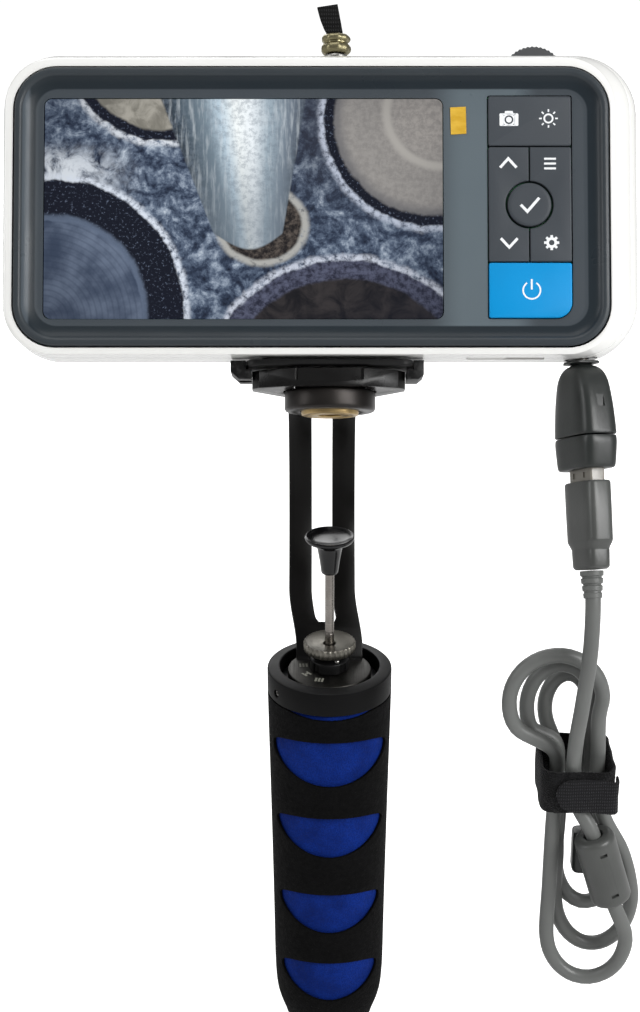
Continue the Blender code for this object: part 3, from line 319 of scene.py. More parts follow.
def collar_material():
    """Black wall with a bare, lightly turned top ring."""
    look = Shader("collar")
    z = look.split(look.place)[2]
    top = look.fade(z, over=((COLLAR_Z + 0.56) / 1000, (COLLAR_Z + 0.64) / 1000))
    patches = look.noise(scale=90.0)
    rings = look.noise(scale=700.0, detail=4.0,
                       at=look.stretch(look.place, (1.0, 1.0, 30.0)))
    wall_shade = look.mix(patches, (0.003, 0.003, 0.0032), (0.005, 0.005, 0.0053))
    top_shade = look.mix(patches, (0.018, 0.018, 0.019), (0.03, 0.03, 0.03))
    look.surface(color=look.mix(top, wall_shade, top_shade),
                 metal=look.times(top, 0.7), spec=0.08,
                 rough=look.fade(patches, over=(0.2, 0.8), to=(0.4, 0.52)),
                 normal=look.bump(rings, strength=0.12, depth=0.00006))


def board_material():
    look = Shader("board")
    tracks = look.cells(scale=420.0, random=0.3)
    look.surface(color=look.mix(look.fade(tracks, over=(0.25, 0.4)),
                                (0.01, 0.12, 0.045), (0.02, 0.2, 0.08)),
                 rough=0.4, normal=look.bump(tracks, strength=0.2, depth=0.0002))


def label_material():
    look = Shader("label")
    streaks = look.noise(scale=240.0, detail=4.0,
                         at=look.stretch(look.place, (1, 1, 3.0)))
    look.surface(color=look.mix(look.fade(streaks), (0.56, 0.32, 0.012),
                                (0.68, 0.42, 0.03)),
                 rough=look.fade(streaks, over=(0.2, 0.8), to=(0.3, 0.5)), coat=0.12,
                 normal=look.bump(look.noise(scale=900.0), strength=0.15, depth=0.0001))


def lens_material():
    look = Shader("lens")
    tint = look.noise(scale=140.0, detail=2.0)
    look.surface(color=look.mix(look.fade(tint), (0.01, 0.012, 0.03), (0.03, 0.012, 0.05)),
                 rough=0.03, coat=1.0, coat_rough=0.01, spec=0.9,
                 normal=look.bump(tint, strength=0.02, depth=0.0001))


def core_material():
    look = Shader("core")
    brush = look.noise(scale=900.0, detail=4.0,
                       at=look.stretch(look.place, (1.0, 1.0, 14.0)))
    patches = look.noise(scale=180.0, detail=4.0)
    look.surface(color=look.mix(look.fade(brush), (0.014, 0.014, 0.015),
                                (0.06, 0.06, 0.062)),
                 metal=0.7, rough=look.fade(patches, to=(0.26, 0.44)),
                 normal=look.bump(brush, strength=0.25, depth=0.0001))


def lcd_material():
    """The lit picture: bores and valve faces of a machined block, with a probe over them.

    It is drawn in the units of the "pic" attribute: x to the right, y down.
    """
    look = Shader("lcd")
    x, y, _ = look.split(look.node('Attribute', 'Vector', attribute_name="pic"))

    def distance(centre_x, centre_y, y_scale=1.0):
        dx = look.math('DIVIDE', look.minus(x, centre_x), 1.0)
        dy = look.math('DIVIDE', look.minus(y, centre_y), y_scale)
        return look.math('SQRT', look.plus(look.times(dx, dx), look.times(dy, dy)))

    flat = look.node('CombineXYZ', inputs={0: x, 1: y, 2: 0.0})
    small = look.noise(scale=0.16, detail=5.0, rough=0.72, at=flat)
    medium = look.noise(scale=0.045, detail=5.0, rough=0.65, warp=0.6, at=flat)
    flecks = look.noise(scale=0.34, rough=0.7, at=flat)
    streaks = look.noise(scale=1.0, detail=4.0, rough=0.6,
                         at=look.stretch(flat, (0.25, 0.03, 1.0)))
    wobble = look.times(look.minus(medium, 0.5), 9.0)   # unevenness of the round edges

    # raw deck of the block, with a pale band on its left and a shaded right side
    picture = look.ramp(look.plus(look.times(medium, 0.65), look.times(small, 0.35)),
                        [(0.36, (0.006, 0.009, 0.02)), (0.45, (0.03, 0.045, 0.08)),
                         (0.52, (0.1, 0.135, 0.2)), (0.6, (0.3, 0.36, 0.45)),
                         (0.72, (0.8, 0.87, 0.93))])
    pale = look.band(y, rise=(138.0, 168.0), fall=(215.0, 178.0))
    pale = look.times(pale, look.fade(x, over=(150.0, 60.0)))
    picture = look.mix(look.times(pale, look.fade(medium, over=(0.35, 0.6))), picture,
                       (0.75, 0.8, 0.86))
    shadow = look.times(look.fade(x, over=(240.0, 330.0)),
                        look.fade(y, over=(250.0, 120.0), to=(0.0, 0.72)))
    picture = look.mix(shadow, picture, (0.03, 0.032, 0.045))

    def disc(below, centre, inner_radius, outer_radius, inner, ring, rim):
        """A face inside a ring, with a broken bright rim round it."""
        away = look.plus(distance(*centre), wobble)
        halo = look.fade(away, over=(outer_radius + 9, outer_radius + 3))
        below = look.mix(look.times(halo, look.fade(small, over=(0.3, 0.6))), below, rim)
        below = look.mix(look.fade(away, over=(outer_radius + 1.5, outer_radius - 1.5)),
                         below, ring)
        return look.mix(look.fade(away, over=(inner_radius + 2.0, inner_radius - 2.0)),
                        below, inner)

    dark_ring = look.mix(look.times(look.fade(flecks, over=(0.56, 0.68)), 0.5),
                         (0.006, 0.008, 0.016), (0.2, 0.25, 0.36))
    # upper left valve face
    beige = look.mix(look.fade(medium, over=(0.35, 0.65)), (0.21, 0.2, 0.17),
                     (0.42, 0.4, 0.35))
    picture = disc(picture, (163.0, 44.0), 86.0, 97.0, beige, dark_ring, (0.7, 0.74, 0.8))
    # upper right valve face, with its stepped rim
    valve = (432.0, 118.0)
    away = distance(*valve)
    face = look.mix(look.fade(away, over=(0.0, 70.0)), (0.47, 0.44, 0.41),
                    (0.33, 0.315, 0.3))
    face = look.mix(look.times(look.fade(small, over=(0.35, 0.65)), 0.5), face,
                    (0.2, 0.19, 0.185))
    step = look.band(distance(441.0, 112.0), rise=(48.0, 53.0), fall=(62.0, 55.0))
    face = look.mix(step, face, (0.46, 0.44, 0.41))
    outer = look.times(look.fade(away, over=(84.0, 97.0), to=(0.0, 0.75)), 1.0)
    face = look.mix(outer, face, (0.13, 0.13, 0.14))
    picture = disc(picture, valve, 98.0, 108.0, face, dark_ring, (0.5, 0.55, 0.66))
    # lower right bore
    bore = look.mix(look.fade(medium), (0.008, 0.008, 0.01), (0.04, 0.035, 0.035))
    ring = look.mix(look.fade(small, over=(0.35, 0.65)), (0.02, 0.022, 0.04),
                    (0.1, 0.11, 0.17))
    picture = disc(picture, (345.0, 405.0), 126.0, 144.0, bore, ring, (0.6, 0.64, 0.74))
    # lower left bore, with tool lines on its floor and a pale lip
    centre = (53.0, 311.0)
    base = look.mix(look.fade(look.noise(scale=0.03, detail=4.0, at=flat)),
                    (0.045, 0.065, 0.11), (0.15, 0.19, 0.27))
    lines = look.math('SINE', look.times(distance(45.0, 320.0), 1.1))
    base = look.mix(look.times(look.fade(lines, over=(0.2, 1.0)), 0.25), base,
                    (0.03, 0.045, 0.08))
    picture = disc(picture, centre, 91.0, 131.0, base, dark_ring, (0.72, 0.78, 0.88))
    away = look.plus(distance(*centre), wobble)
    lip = look.band(away, rise=(88.0, 91.0), fall=(98.0, 93.0))
    picture = look.mix(look.times(lip, 0.8), picture, (0.13, 0.17, 0.25))
    # hole under the probe, with a chipped edge
    away = look.plus(distance(262.0, 226.0, y_scale=0.86), look.times(wobble, 0.5))
    chips = look.times(look.fade(away, over=(50.0, 44.0)),
                       look.fade(small, over=(0.2, 0.5)))
    picture = look.mix(chips, picture, (0.42, 0.42, 0.4))
    inside_hole = look.mix(look.fade(small, over=(0.4, 0.7)), (0.015, 0.013, 0.013),
                           (0.12, 0.1, 0.085))
    picture = look.mix(look.fade(away, over=(42.0, 38.0)), picture, inside_hole)
    # probe: a rod that tapers downwards to a rounded tip
    down = look.fade(y, over=(98.0, 250.0), kind='LINEAR')
    left = look.plus(160.0, look.times(down, 60.0))
    right = look.minus(306.0, look.times(down, 26.0))
    middle = look.times(look.plus(left, right), 0.5)
    half_width = look.times(look.minus(right, left), 0.5)
    across = look.math('DIVIDE', look.minus(x, middle), half_width)     # -1 to 1
    tip = look.minus(251.0, look.times(look.times(across, across), 16.0))
    in_rod = look.times(look.fade(look.math('ABSOLUTE', across), over=(1.02, 0.97)),
                        look.fade(y, over=(tip, look.minus(tip, 3.0))))
    rod = look.ramp(look.plus(look.times(across, 0.5), 0.5),
                    [(0.0, (0.02, 0.028, 0.04)), (0.1, (0.06, 0.085, 0.11)),
                     (0.27, (0.17, 0.23, 0.28)), (0.4, (0.55, 0.68, 0.78)),
                     (0.5, (0.95, 1.0, 1.0)), (0.62, (0.9, 0.96, 1.0)),
                     (0.74, (0.36, 0.45, 0.52)), (0.9, (0.17, 0.21, 0.26)),
                     (1.0, (0.06, 0.075, 0.1))])
    rod = look.mix(look.times(look.fade(small, over=(0.42, 0.62)), 0.45), rod,
                   (0.16, 0.2, 0.25))
    rod = look.mix(look.times(look.fade(streaks, over=(0.45, 0.7)), 0.35), rod,
                   (0.8, 0.86, 0.9))
    rod = look.mix(look.fade(y, over=(125.0, 235.0), to=(0.0, 0.62)), rod,
                   (0.16, 0.2, 0.24))
    picture = look.mix(in_rod, picture, rod)
    # soft falloff to the corners
    corners = look.fade(distance(240.0, 205.0, y_scale=0.7), over=(120.0, 290.0),
                        to=(0.0, 0.5))
    picture = look.mix(corners, picture, (0.005, 0.007, 0.015))
    look.surface(color=(0.004, 0.004, 0.005), rough=0.12, spec=0.1, emit=picture,
                 emit_power=1.0)


# name, colour, roughness, grain scale, grain relief, colour variation, other settings
MOULDED = [
    ("shell", (0.83, 0.83, 0.81), 0.2, 1800, 0.05, 0.015, dict(coat=0.35)),
    ("key", (0.05, 0.058, 0.068), 0.5, 3200, 0.2, 0.06, dict(spec=0.25)),
    ("blue_key", (0.0, 0.26, 0.6), 0.42, 3000, 0.16, 0.05, dict(spec=0.2)),
    ("print_white", (0.82, 0.84, 0.86), 0.5, 4000, 0.1, 0.03, {}),
    ("black_gloss", (0.0025, 0.0025, 0.003), 0.17, 900, 0.04, 0.3,
     dict(coat=0.12, dust=0.02, spec=0.3)),
    ("pale_rubber", (0.6, 0.6, 0.58), 0.5, 1900, 0.2, 0.05, dict(dust=0.1)),
    ("rubber", (0.014, 0.014, 0.015), 0.7, 1900, 0.3, 0.2, dict(dust=0.1)),
    ("grey_rubber", (0.04, 0.042, 0.045), 0.55, 1900, 0.25, 0.15, dict(dust=0.2)),
    ("cord", (0.125, 0.13, 0.125), 0.42, 1500, 0.18, 0.09, dict(dust=0.15)),
    ("cord_plug", (0.06, 0.063, 0.06), 0.36, 1500, 0.2, 0.1, dict(dust=0.1)),
    ("cord_dark", (0.02, 0.023, 0.022), 0.36, 1500, 0.2, 0.1, dict(dust=0.06, spec=0.4)),
    ("worn_print", (0.2, 0.2, 0.17), 0.5, 4000, 0.1, 0.3, {}),
    ("plug_shell", (0.2, 0.185, 0.155), 0.3, 900, 0.05, 0.12, dict(spec=0.8)),
]
# name, colour, roughness, edge wear, metallic, specular
BLACK_METALS = [
    ("black_metal", (0.0035, 0.0035, 0.0037), 0.4, 0.25, 0.0, 0.2),
    ("clamp", (0.003, 0.0029, 0.0029), 0.24, 0.2, 0.0, 0.2),
    ("arm_metal", (0.003, 0.0028, 0.0027), 0.32, 0.15, 0.0, 0.13),
    ("nut", (0.018, 0.016, 0.015), 0.32, 0.2, 0.75, 0.4),
]
# name, colour, roughness, axis the rings run across, ring noise scale
TURNED_METALS = [
    ("brushed", (0.06, 0.058, 0.054), 0.42, 'X', 70.0),
    ("steel", (0.5, 0.49, 0.47), 0.25, 'Z', 90.0),
    ("rod", (0.27, 0.25, 0.23), 0.26, 'Z', 30.0),
    ("wheel", (0.2, 0.19, 0.165), 0.34, 'Z', 250.0),
    ("brass", (0.5, 0.36, 0.17), 0.32, 'Z', 90.0),
    ("old_brass", (0.3, 0.27, 0.16), 0.34, 'Y', 70.0),
]
for *columns, others in MOULDED:
    moulded(*columns, **others)
for columns in BLACK_METALS:
    black_metal(*columns)
for columns in TURNED_METALS:
    turned_metal(*columns)
foam("foam_black", color=(0.0009, 0.0009, 0.001), light=(0.0022, 0.0021, 0.0024))
foam("foam_blue", color=(0.0015, 0.013, 0.12), light=(0.003, 0.023, 0.2))
woven("webbing", color=(0.004, 0.004, 0.004), light=(0.02, 0.02, 0.021))
woven("tape_back", color=(0.009, 0.009, 0.01), light=(0.026, 0.026, 0.029))
for make in (loop_tape_material, bezel_material, collar_material, board_material,
             label_material, lens_material, core_material, lcd_material):
    make()


# ------------------------------------------------------------- mesh building
def add_object(name, geometry, frame, weld=False):
    """Link an object made of (vertices, faces), with its normals turned outwards."""
    verts, faces = geometry
    mesh = bpy.data.meshes.new(name)
    mesh.from_pydata(verts, [], faces)
    bm = bmesh.new()
    bm.from_mesh(mesh)
    if weld:
        bmesh.ops.remove_doubles(bm, verts=bm.verts, dist=1e-5)
    bmesh.ops.recalc_face_normals(bm, faces=bm.faces)
    bm.to_mesh(mesh)
    bm.free()
    mesh.transform(frame)
    ob = bpy.data.objects.new(name, mesh)
    bpy.context.scene.collection.objects.link(ob)
    return ob


def add_bevel(ob, width, segments, angle):
    bevel = ob.modifiers.new("edge", 'BEVEL')
    bevel.width = width
    bevel.segments = segments
    bevel.limit_method = 'ANGLE'
    bevel.angle_limit = math.radians(angle)


def evaluated_mesh(ob):
    graph = bpy.context.evaluated_depsgraph_get()
    return bpy.data.meshes.new_from_object(ob.evaluated_get(graph))


def piece(name, geometry, frame, body, material, replaces=None, smooth=30, bevel=None,
          bevel_angle=40, cuts=()):
    """Make one finished object. bevel is (width in mm, segments); smooth is in degrees."""
    ob = add_object(name, geometry, frame, weld=True)
    for cut in cuts:
        boolean = ob.modifiers.new("cut", 'BOOLEAN')
        boolean.operation = 'DIFFERENCE'
        boolean.solver = 'EXACT'
        boolean.object = cut
    if bevel:
        add_bevel(ob, bevel[0] / 1000, bevel[1], bevel_angle)
    if ob.modifiers:
        plain = ob.data
        baked = evaluated_mesh(ob)
        ob.modifiers.clear()
        ob.data = baked
        bpy.data.meshes.remove(plain)
        for cut in cuts:
            bpy.data.objects.remove(cut)
    mesh = ob.data
    mesh.name = name
    mesh.materials.clear()
    mesh.materials.append(MATERIALS[material])
    if smooth:
        mesh.shade_smooth()
        mesh.set_sharp_from_angle(angle=math.radians(smooth))
    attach(ob, body)
    if replaces:
        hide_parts(replaces)
    return ob


def loft(sections, ring=False):
    """Skin equal-length sections; capped, or joined end to end as a ring."""
    count = len(sections[0])
    last = len(sections) - 1
    pairs = [(k, k + 1) for k in range(last)] + ([(last, 0)] if ring else [])
    faces = []
    for a, b in pairs:
        for i in range(count):
            j = (i + 1) % count
            faces.append((a * count + i, a * count + j, b * count + j, b * count + i))
    if not ring:
        faces.append(tuple(reversed(range(count))))
        faces.append(tuple(range(last * count, (last + 1) * count)))
    return [point for section in sections for point in section], faces


def lathe(profile, segs, closed=False, radius_at=None):
    """Profile turned about z. radius_at(angle, radius, z) varies the radius."""
    verts, faces, rows = [], [], []
    for radius, z in profile:
        if radius <= 1e-6:
            rows.append([len(verts)] * segs)
            verts.append((0, 0, z))
            continue
        row = []
        for i in range(segs):
            angle = 2 * math.pi * i / segs
            r = radius_at(angle, radius, z) if radius_at else radius
            row.append(len(verts))
            verts.append((r * math.cos(angle), r * math.sin(angle), z))
        rows.append(row)
    pairs = list(zip(rows[:-1], rows[1:])) + ([(rows[-1], rows[0])] if closed else [])
    for a, b in pairs:
        for i in range(segs):
            j = (i + 1) % segs
            corners = tuple(dict.fromkeys((a[i], a[j], b[j], b[i])))
            if len(corners) > 2:
                faces.append(corners)
    return verts, faces


def box(x, y, z, size_x, size_y, size_z):
    """Box about a centre."""
    verts = [(x + size_x / 2 * a, y + size_y / 2 * b, z + size_z / 2 * c)
             for a in (-1, 1) for b in (-1, 1) for c in (-1, 1)]
    return verts, [(0, 1, 3, 2), (4, 6, 7, 5), (0, 4, 5, 1), (2, 3, 7, 6), (0, 2, 6, 4),
                   (1, 5, 7, 3)]


def cylinder(radius, depth, segs):
    half = depth / 2
    return lathe([(0, half), (radius, half), (radius, -half), (0, -half)], segs)


def merge(*parts):
    verts, faces = [], []
    for part_verts, part_faces in parts:
        start = len(verts)
        verts += part_verts
        faces += [tuple(i + start for i in face) for face in part_faces]
    return verts, faces


def moved(part, matrix):
    verts, faces = part
    return [tuple(matrix @ Vector(p)) for p in verts], faces


def polar(radius, degrees, x=0.0, y=0.0):
    angle = math.radians(degrees)
    return x + radius * math.cos(angle), y + radius * math.sin(angle)


def arc(x, y, radius, start, end, count):
    return [polar(radius, start + (end - start) * i / count, x, y)
            for i in range(count + 1)]


def round_rect(left, right, bottom, top, radius, count=10):
    """Rounded rectangle; four radii run from the lower right corner anticlockwise."""
    radii = radius if isinstance(radius, tuple) else (radius,) * 4
    r0, r1, r2, r3 = radii
    return (arc(right - r0, bottom + r0, r0, -90, 0, count)
            + arc(right - r1, top - r1, r1, 0, 90, count)
            + arc(left + r2, top - r2, r2, 90, 180, count)
            + arc(left + r3, bottom + r3, r3, 180, 270, count))


def inset(outline, distance):
    """Outline moved inwards."""
    count = len(outline)
    area = sum(outline[i][0] * outline[(i + 1) % count][1]
               - outline[(i + 1) % count][0] * outline[i][1] for i in range(count))
    side = 1.0 if area > 0 else -1.0
    result = []
    for i in range(count):
        before, here, after = (Vector(outline[k]) for k in (i - 1, i, (i + 1) % count))
        edge_in, edge_out = here - before, after - here
        if edge_in.length < 1e-6:
            edge_in = edge_out
        if edge_out.length < 1e-6:
            edge_out = edge_in
        normal = Vector((-edge_in.y, edge_in.x)).normalized() * side
        mitre = normal + Vector((-edge_out.y, edge_out.x)).normalized() * side
        if mitre.length < 1e-6:
            mitre = normal.copy()
        mitre.normalize()
        point = here + mitre * (distance / max(0.5, mitre.dot(normal)))
        result.append((point.x, point.y))
    return result


def stack_y(outline, levels):
    """Outline in x,z stacked along y; levels are (y, inset)."""
    return loft([[(x, y, z) for x, z in inset(outline, d)] for y, d in levels])


def stack_z(outline, levels):
    """Outline in x,y stacked along z; levels are (z, inset)."""
    return loft([[(x, y, z) for x, y in inset(outline, d)] for z, d in levels])


def stroke(points, width):
    """Outline of a bent bar along points, with mitred bends."""
    left, right = [], []
    for i, point in enumerate(points):
        point = Vector(point)
        before = (point - Vector(points[i - 1])).normalized() if i else None
        after = (Vector(points[i + 1]) - point).normalized() if i < len(points) - 1 else None
        before = before or after
        after = after or before
        normal = Vector((-before.y, before.x))
        mitre = (normal + Vector((-after.y, after.x))).normalized()
        reach = width / 2 / max(0.35, mitre.dot(normal))
        left.append(tuple(point + mitre * reach))
        right.append(tuple(point - mitre * reach))
    return left + right[::-1]


def ring_sector(x, y, inner, outer, start=0.0, end=360.0):
    """Outline of a ring sector; a full ring is split by a hairline."""
    if end - start >= 360:
        end -= 0.01
    return arc(x, y, outer, start, end, 40) + arc(x, y, inner, end, start, 40)


def catmull(p0, p1, p2, p3, t):
    """Catmull-Rom point between p1 and p2."""
    return 0.5 * ((2 * p1) + (p2 - p0) * t + (2 * p0 - 5 * p1 + 4 * p2 - p3) * t * t
                  + (3 * p1 - p0 - 3 * p2 + p3) * t ** 3)


def smooth_rows(rows, count):
    """Catmull-Rom through rows of numbers, count steps to a span."""
    p = [np.array(row, float) for row in rows]
    p = [2 * p[0] - p[1]] + p + [2 * p[-1] - p[-2]]
    result = [catmull(*p[i - 1:i + 3], k / count)
              for i in range(1, len(p) - 2) for k in range(count)]
    return result + [p[-2]]


def cutter(geometry, frame=DISPLAY):
    return add_object("tool", geometry, frame)


def drum(x, y, z, radius, depth, segs=48, axis='Z'):
    """Round cutter about a centre in the display frame."""
    verts, faces = cylinder(radius, depth, segs)
    if axis == 'Y':
        verts = [(a, c, b) for a, b, c in verts]
    return cutter(([(a + x, b + y, c + z) for a, b, c in verts], faces))


def brick(x, y, z, size_x, size_y, size_z, frame=DISPLAY):
    """Box cutter about a centre."""
    return cutter(box(x, y, z, size_x, size_y, size_z), frame)


# ------------------------------------------------------------------- housing
# stations from back to front: y, left, right, bottom, top, corner radius
OUTER = [
    (11.0, -78.0, 73.0, 26.0, 86.0, 9.0),
    (10.6, -81.6, 76.6, 22.4, 90.0, 10.6),
    (9.4, -84.6, 79.6, 19.4, 93.0, 12.2),
    (6.5, -88.4, 83.2, 15.8, 97.0, 14.0),
    (2.0, -90.6, 85.4, 14.2, 99.2, 15.6),
    (-5.0, -91.2, 85.8, 14.0, 99.7, 16.4),
    (-10.5, -90.6, 83.0, 13.98, 98.5, 15.5),
    (-15.0, -89.8, 78.9, 14.1, 96.9, 13.6),
    (-15.7, -89.5, 78.4, 14.3, 96.6, 13.4),
    (-16.0, -88.9, 77.8, 14.9, 96.0, 12.9),
]
# the same columns, from front to back
INNER = [
    (-15.95, -87.4, 77.1, 15.9, 94.2, 12.0),
    (-12.0, -87.35, 77.05, 15.95, 94.15, 11.95),
    (-11.4, -88.3, 80.4, 16.0, 96.0, 13.0),
    (-5.0, -89.3, 83.9, 16.0, 97.8, 14.5),
    (2.0, -88.8, 83.5, 16.1, 97.3, 14.0),
    (5.6, -86.4, 81.2, 18.0, 95.0, 12.0),
    (8.0, -81.6, 76.6, 22.6, 90.0, 10.0),
    (9.0, -76.0, 71.0, 28.0, 84.0, 7.0),
]
GROOVE = ((-8.95, 0.0), (-9.05, 0.32), (-9.4, 0.32), (-9.5, 0.0))   # y, depth
SCREWS = ((-72.0, 34.0), (66.0, 34.0), (66.0, 54.0), (-72.0, 78.0))     # x, z
LENS_X, LENS_Z = 58.1, 74.0
POST_X, POST_Y = 1.7, -2.0
PLATE_SCREW_Y = -3.0


def housing_stations():
    """Smoothed outside with a parting groove round it, then the inside."""
    outside = [tuple(row) for row in smooth_rows(OUTER, 4) if not -10.0 < row[0] < -8.9]
    behind, ahead = np.array(OUTER[5]), np.array(OUTER[6])
    for y, depth in GROOVE:
        row = behind + (ahead - behind) * ((y - behind[0]) / (ahead[0] - behind[0]))
        _, left, right, bottom, top, radius = row
        outside.append((y, left + depth, right - depth, bottom + depth, top - depth,
                        radius - depth))
    return sorted(outside, key=lambda row: -row[0]) + INNER


housing_cuts = [
    drum(PORT_X, PORT_Y, 14.5, 4.6, 8.0),                       # round jack
    brick(48.6, -8.0, 14.5, 21.4, 4.4, 8.0),                    # flap and card mouth
    brick(LENS_X, 6.0, 97.0, 19.2, 4.8, 20.0),                  # focus dial
    drum(POST_X, POST_Y, 98.5, 2.3, 8.0, segs=24),              # strap post
    drum(LENS_X, 10.0, LENS_Z, 9.4, 8.0, segs=64, axis='Y'),    # lens tube
    drum(0.0, PLATE_SCREW_Y, 15.0, 3.5, 8.0, segs=32),          # plate screw
    drum(38.4, -13.0, 14.0, 0.5, 4.0, segs=12)]                 # pinhole
for x, z in SCREWS:
    housing_cuts.append(drum(x, 10.0, z, 1.9, 6.0, segs=24, axis='Y'))
piece("housing", loft([[(x, y, z) for x, z in round_rect(*sizes, 12)]
                       for y, *sizes in housing_stations()]),
      DISPLAY, "display", "shell", "rear_shell", smooth=28, cuts=housing_cuts)

# ----------------------------------------------------------- bezel and screen
BEZEL = (-87.0, 76.7, 16.3, 93.8, 11.6)     # left, right, bottom, top, corner radius
# y, inset: from the outer side over the crest and down to the flat
BEZEL_LEVELS = [
    (-12.3, 0.5), (-15.9, 0.05), (-16.45, 0.12), (-16.8, 0.42), (-17.0, 0.95),
    (-17.0, 1.45), (-16.86, 1.85), (-16.55, 2.2), (-16.1, 2.6), (-15.6, 3.25),
    (-15.2, 4.1), (-14.9, 5.0), (-14.68, 5.8), (-14.56, 6.35), (-14.5, 6.7), (-14.5, 7.0)]
BEZEL_CUT = [(-18, 0), (-10, 0)]
WINDOW_LEFT, WINDOW_RIGHT, WINDOW_BOTTOM, WINDOW_TOP = -79.0, 31.25, 23.95, 85.55
GLASS_GAP = 0.25
# opening for the keys
KEYS_LEFT, KEYS_RIGHT, KEYS_BOTTOM, KEYS_TOP = 43.3, 66.75, 24.0, 86.3


def bezel_section(y, inward):
    left, right, bottom, top, radius = BEZEL
    outline = round_rect(left + inward, right - inward, bottom + inward, top - inward,
                         radius - inward * 0.93, 14)
    return [(x, y, z) for x, z in outline]


piece("bezel", loft([bezel_section(*level) for level in BEZEL_LEVELS]), DISPLAY, "display",
      "bezel", "front_bezel", smooth=25,
      cuts=[cutter(stack_y(outline, BEZEL_CUT)) for outline in (
          round_rect(WINDOW_LEFT, WINDOW_RIGHT, WINDOW_BOTTOM, WINDOW_TOP, 2.2, 8),
          round_rect(KEYS_LEFT, KEYS_RIGHT, KEYS_BOTTOM, KEYS_TOP, (4.7, 0.6, 0.6, 0.6), 6))])

glass = round_rect(WINDOW_LEFT + GLASS_GAP, WINDOW_RIGHT - GLASS_GAP,
                   WINDOW_BOTTOM + GLASS_GAP, WINDOW_TOP - GLASS_GAP, 2.0, 8)
screen = piece("screen", stack_y(glass, [(-13.4, 0), (-14.42, 0), (-14.5, 0.08)]), DISPLAY,
               "display", "lcd", "screen_window")

# "pic" carries the picture's coordinates: this start and span fill the window,
# measured to the right and down from its upper left corner
PIC_START, PIC_SPAN = (43.5, 98.0), (400.0, 221.5)
picture_place = screen.data.attributes.new("pic", 'FLOAT_VECTOR', 'POINT')
to_display = DISPLAY.inverted()
for i, vertex in enumerate(screen.data.vertices):
    point = to_display @ vertex.co
    right = (point.x - WINDOW_LEFT) / (WINDOW_RIGHT - WINDOW_LEFT)
    down = (WINDOW_TOP - point.z) / (WINDOW_TOP - WINDOW_BOTTOM)
    picture_place.data[i].vector = (PIC_START[0] + PIC_SPAN[0] * right,
                                    PIC_START[1] + PIC_SPAN[1] * down, 0.0)

STICKER = [(33.3, 75.3), (37.6, 75.55), (37.45, 83.1), (33.1, 82.9)]    # x, z
piece("sticker", stack_y(STICKER, [(-14.55, 0), (-14.72, 0), (-14.78, 0.08)]), DISPLAY,
      "display", "label", "status_label")

# ---------------------------------------------------------------------- keys
KEY_GAP = 0.32
KEY_LEFT, KEY_RIGHT = KEYS_LEFT + KEY_GAP, KEYS_RIGHT - KEY_GAP
OK_X, OK_Z = 54.85, 55.7
OK_CLEARANCE = 6.6              # radius of the bite round the ok key
TALL_BOTTOM, TALL_TOP = 39.9, 71.75     # the two tall keys beside the ok key
KEY_LEVELS = [(-12.9, 0.0), (-14.75, 0.0), (-14.95, 0.07), (-15.06, 0.2),
              (-15.1, 0.38)]    # y, inset


def tall_key(side):
    """Outline of the left (-1) or right (1) tall key, bitten round the ok key."""
    inner = OK_X + side * KEY_GAP / 2
    half = math.degrees(math.acos((KEY_GAP / 2) / OK_CLEARANCE))
    r = 0.5
    low, high = TALL_BOTTOM + r, TALL_TOP - r       # centres of the outer corners
    if side < 0:
        x = KEY_LEFT + r
        return ([(x, TALL_BOTTOM), (inner, TALL_BOTTOM)]
                + arc(OK_X, OK_Z, OK_CLEARANCE, 180 + half, 180 - half, 36)
                + [(inner, TALL_TOP)]
                + arc(x, high, r, 90, 180, 5) + arc(x, low, r, 180, 270, 5)[:-1])
    x = KEY_RIGHT - r
    return ([(inner, TALL_TOP)] + arc(OK_X, OK_Z, OK_CLEARANCE, half, -half, 36)
            + [(inner, TALL_BOTTOM)]
            + arc(x, low, r, -90, 0, 5) + arc(x, high, r, 0, 90, 5))


for key_name, material, outline in (
        ("photo_light", "key", round_rect(KEY_LEFT, KEY_RIGHT, 72.1, 86.0, 0.6, 6)),
        ("up_down", "key", tall_key(-1)),
        ("menu_settings", "key", tall_key(1)),
        ("power", "blue_key",
         round_rect(KEY_LEFT, KEY_RIGHT, 24.3, 39.55, (4.3, 0.6, 0.6, 0.6), 8))):
    piece(key_name + "_keycap", stack_y(outline, KEY_LEVELS), DISPLAY, key_name + "_key",
          material, "key_" + key_name, smooth=28)

OK_PROFILE = [(0, 2.35), (3.4, 2.37), (5.0, 2.42), (5.6, 2.38), (5.9, 2.2), (6.05, 1.9),
              (6.05, 0.0), (0, 0.0)]
piece("ok_keycap", lathe(OK_PROFILE, 72), face_on(OK_X, -12.95, OK_Z), "ok_key", "key",
      "key_ok", smooth=28)


# --------------------------------------------------------------------- icons
def icon(name, outlines, key_name, y=-15.1):
    """Printed sign: outlines in x,z, standing just proud of the key's face at y."""
    levels = [(y + 0.05, 0), (y - 0.05, 0), (y - 0.07, 0.02)]
    piece("icon_" + name, merge(*[stack_y(outline, levels) for outline in outlines]),
          DISPLAY, key_name + "_key", "print_white", smooth=0)


def rays(x, z, start, end, width):
    return [stroke([polar(start, 45 * i, x, z), polar(end, 45 * i, x, z)], width)
            for i in range(8)]


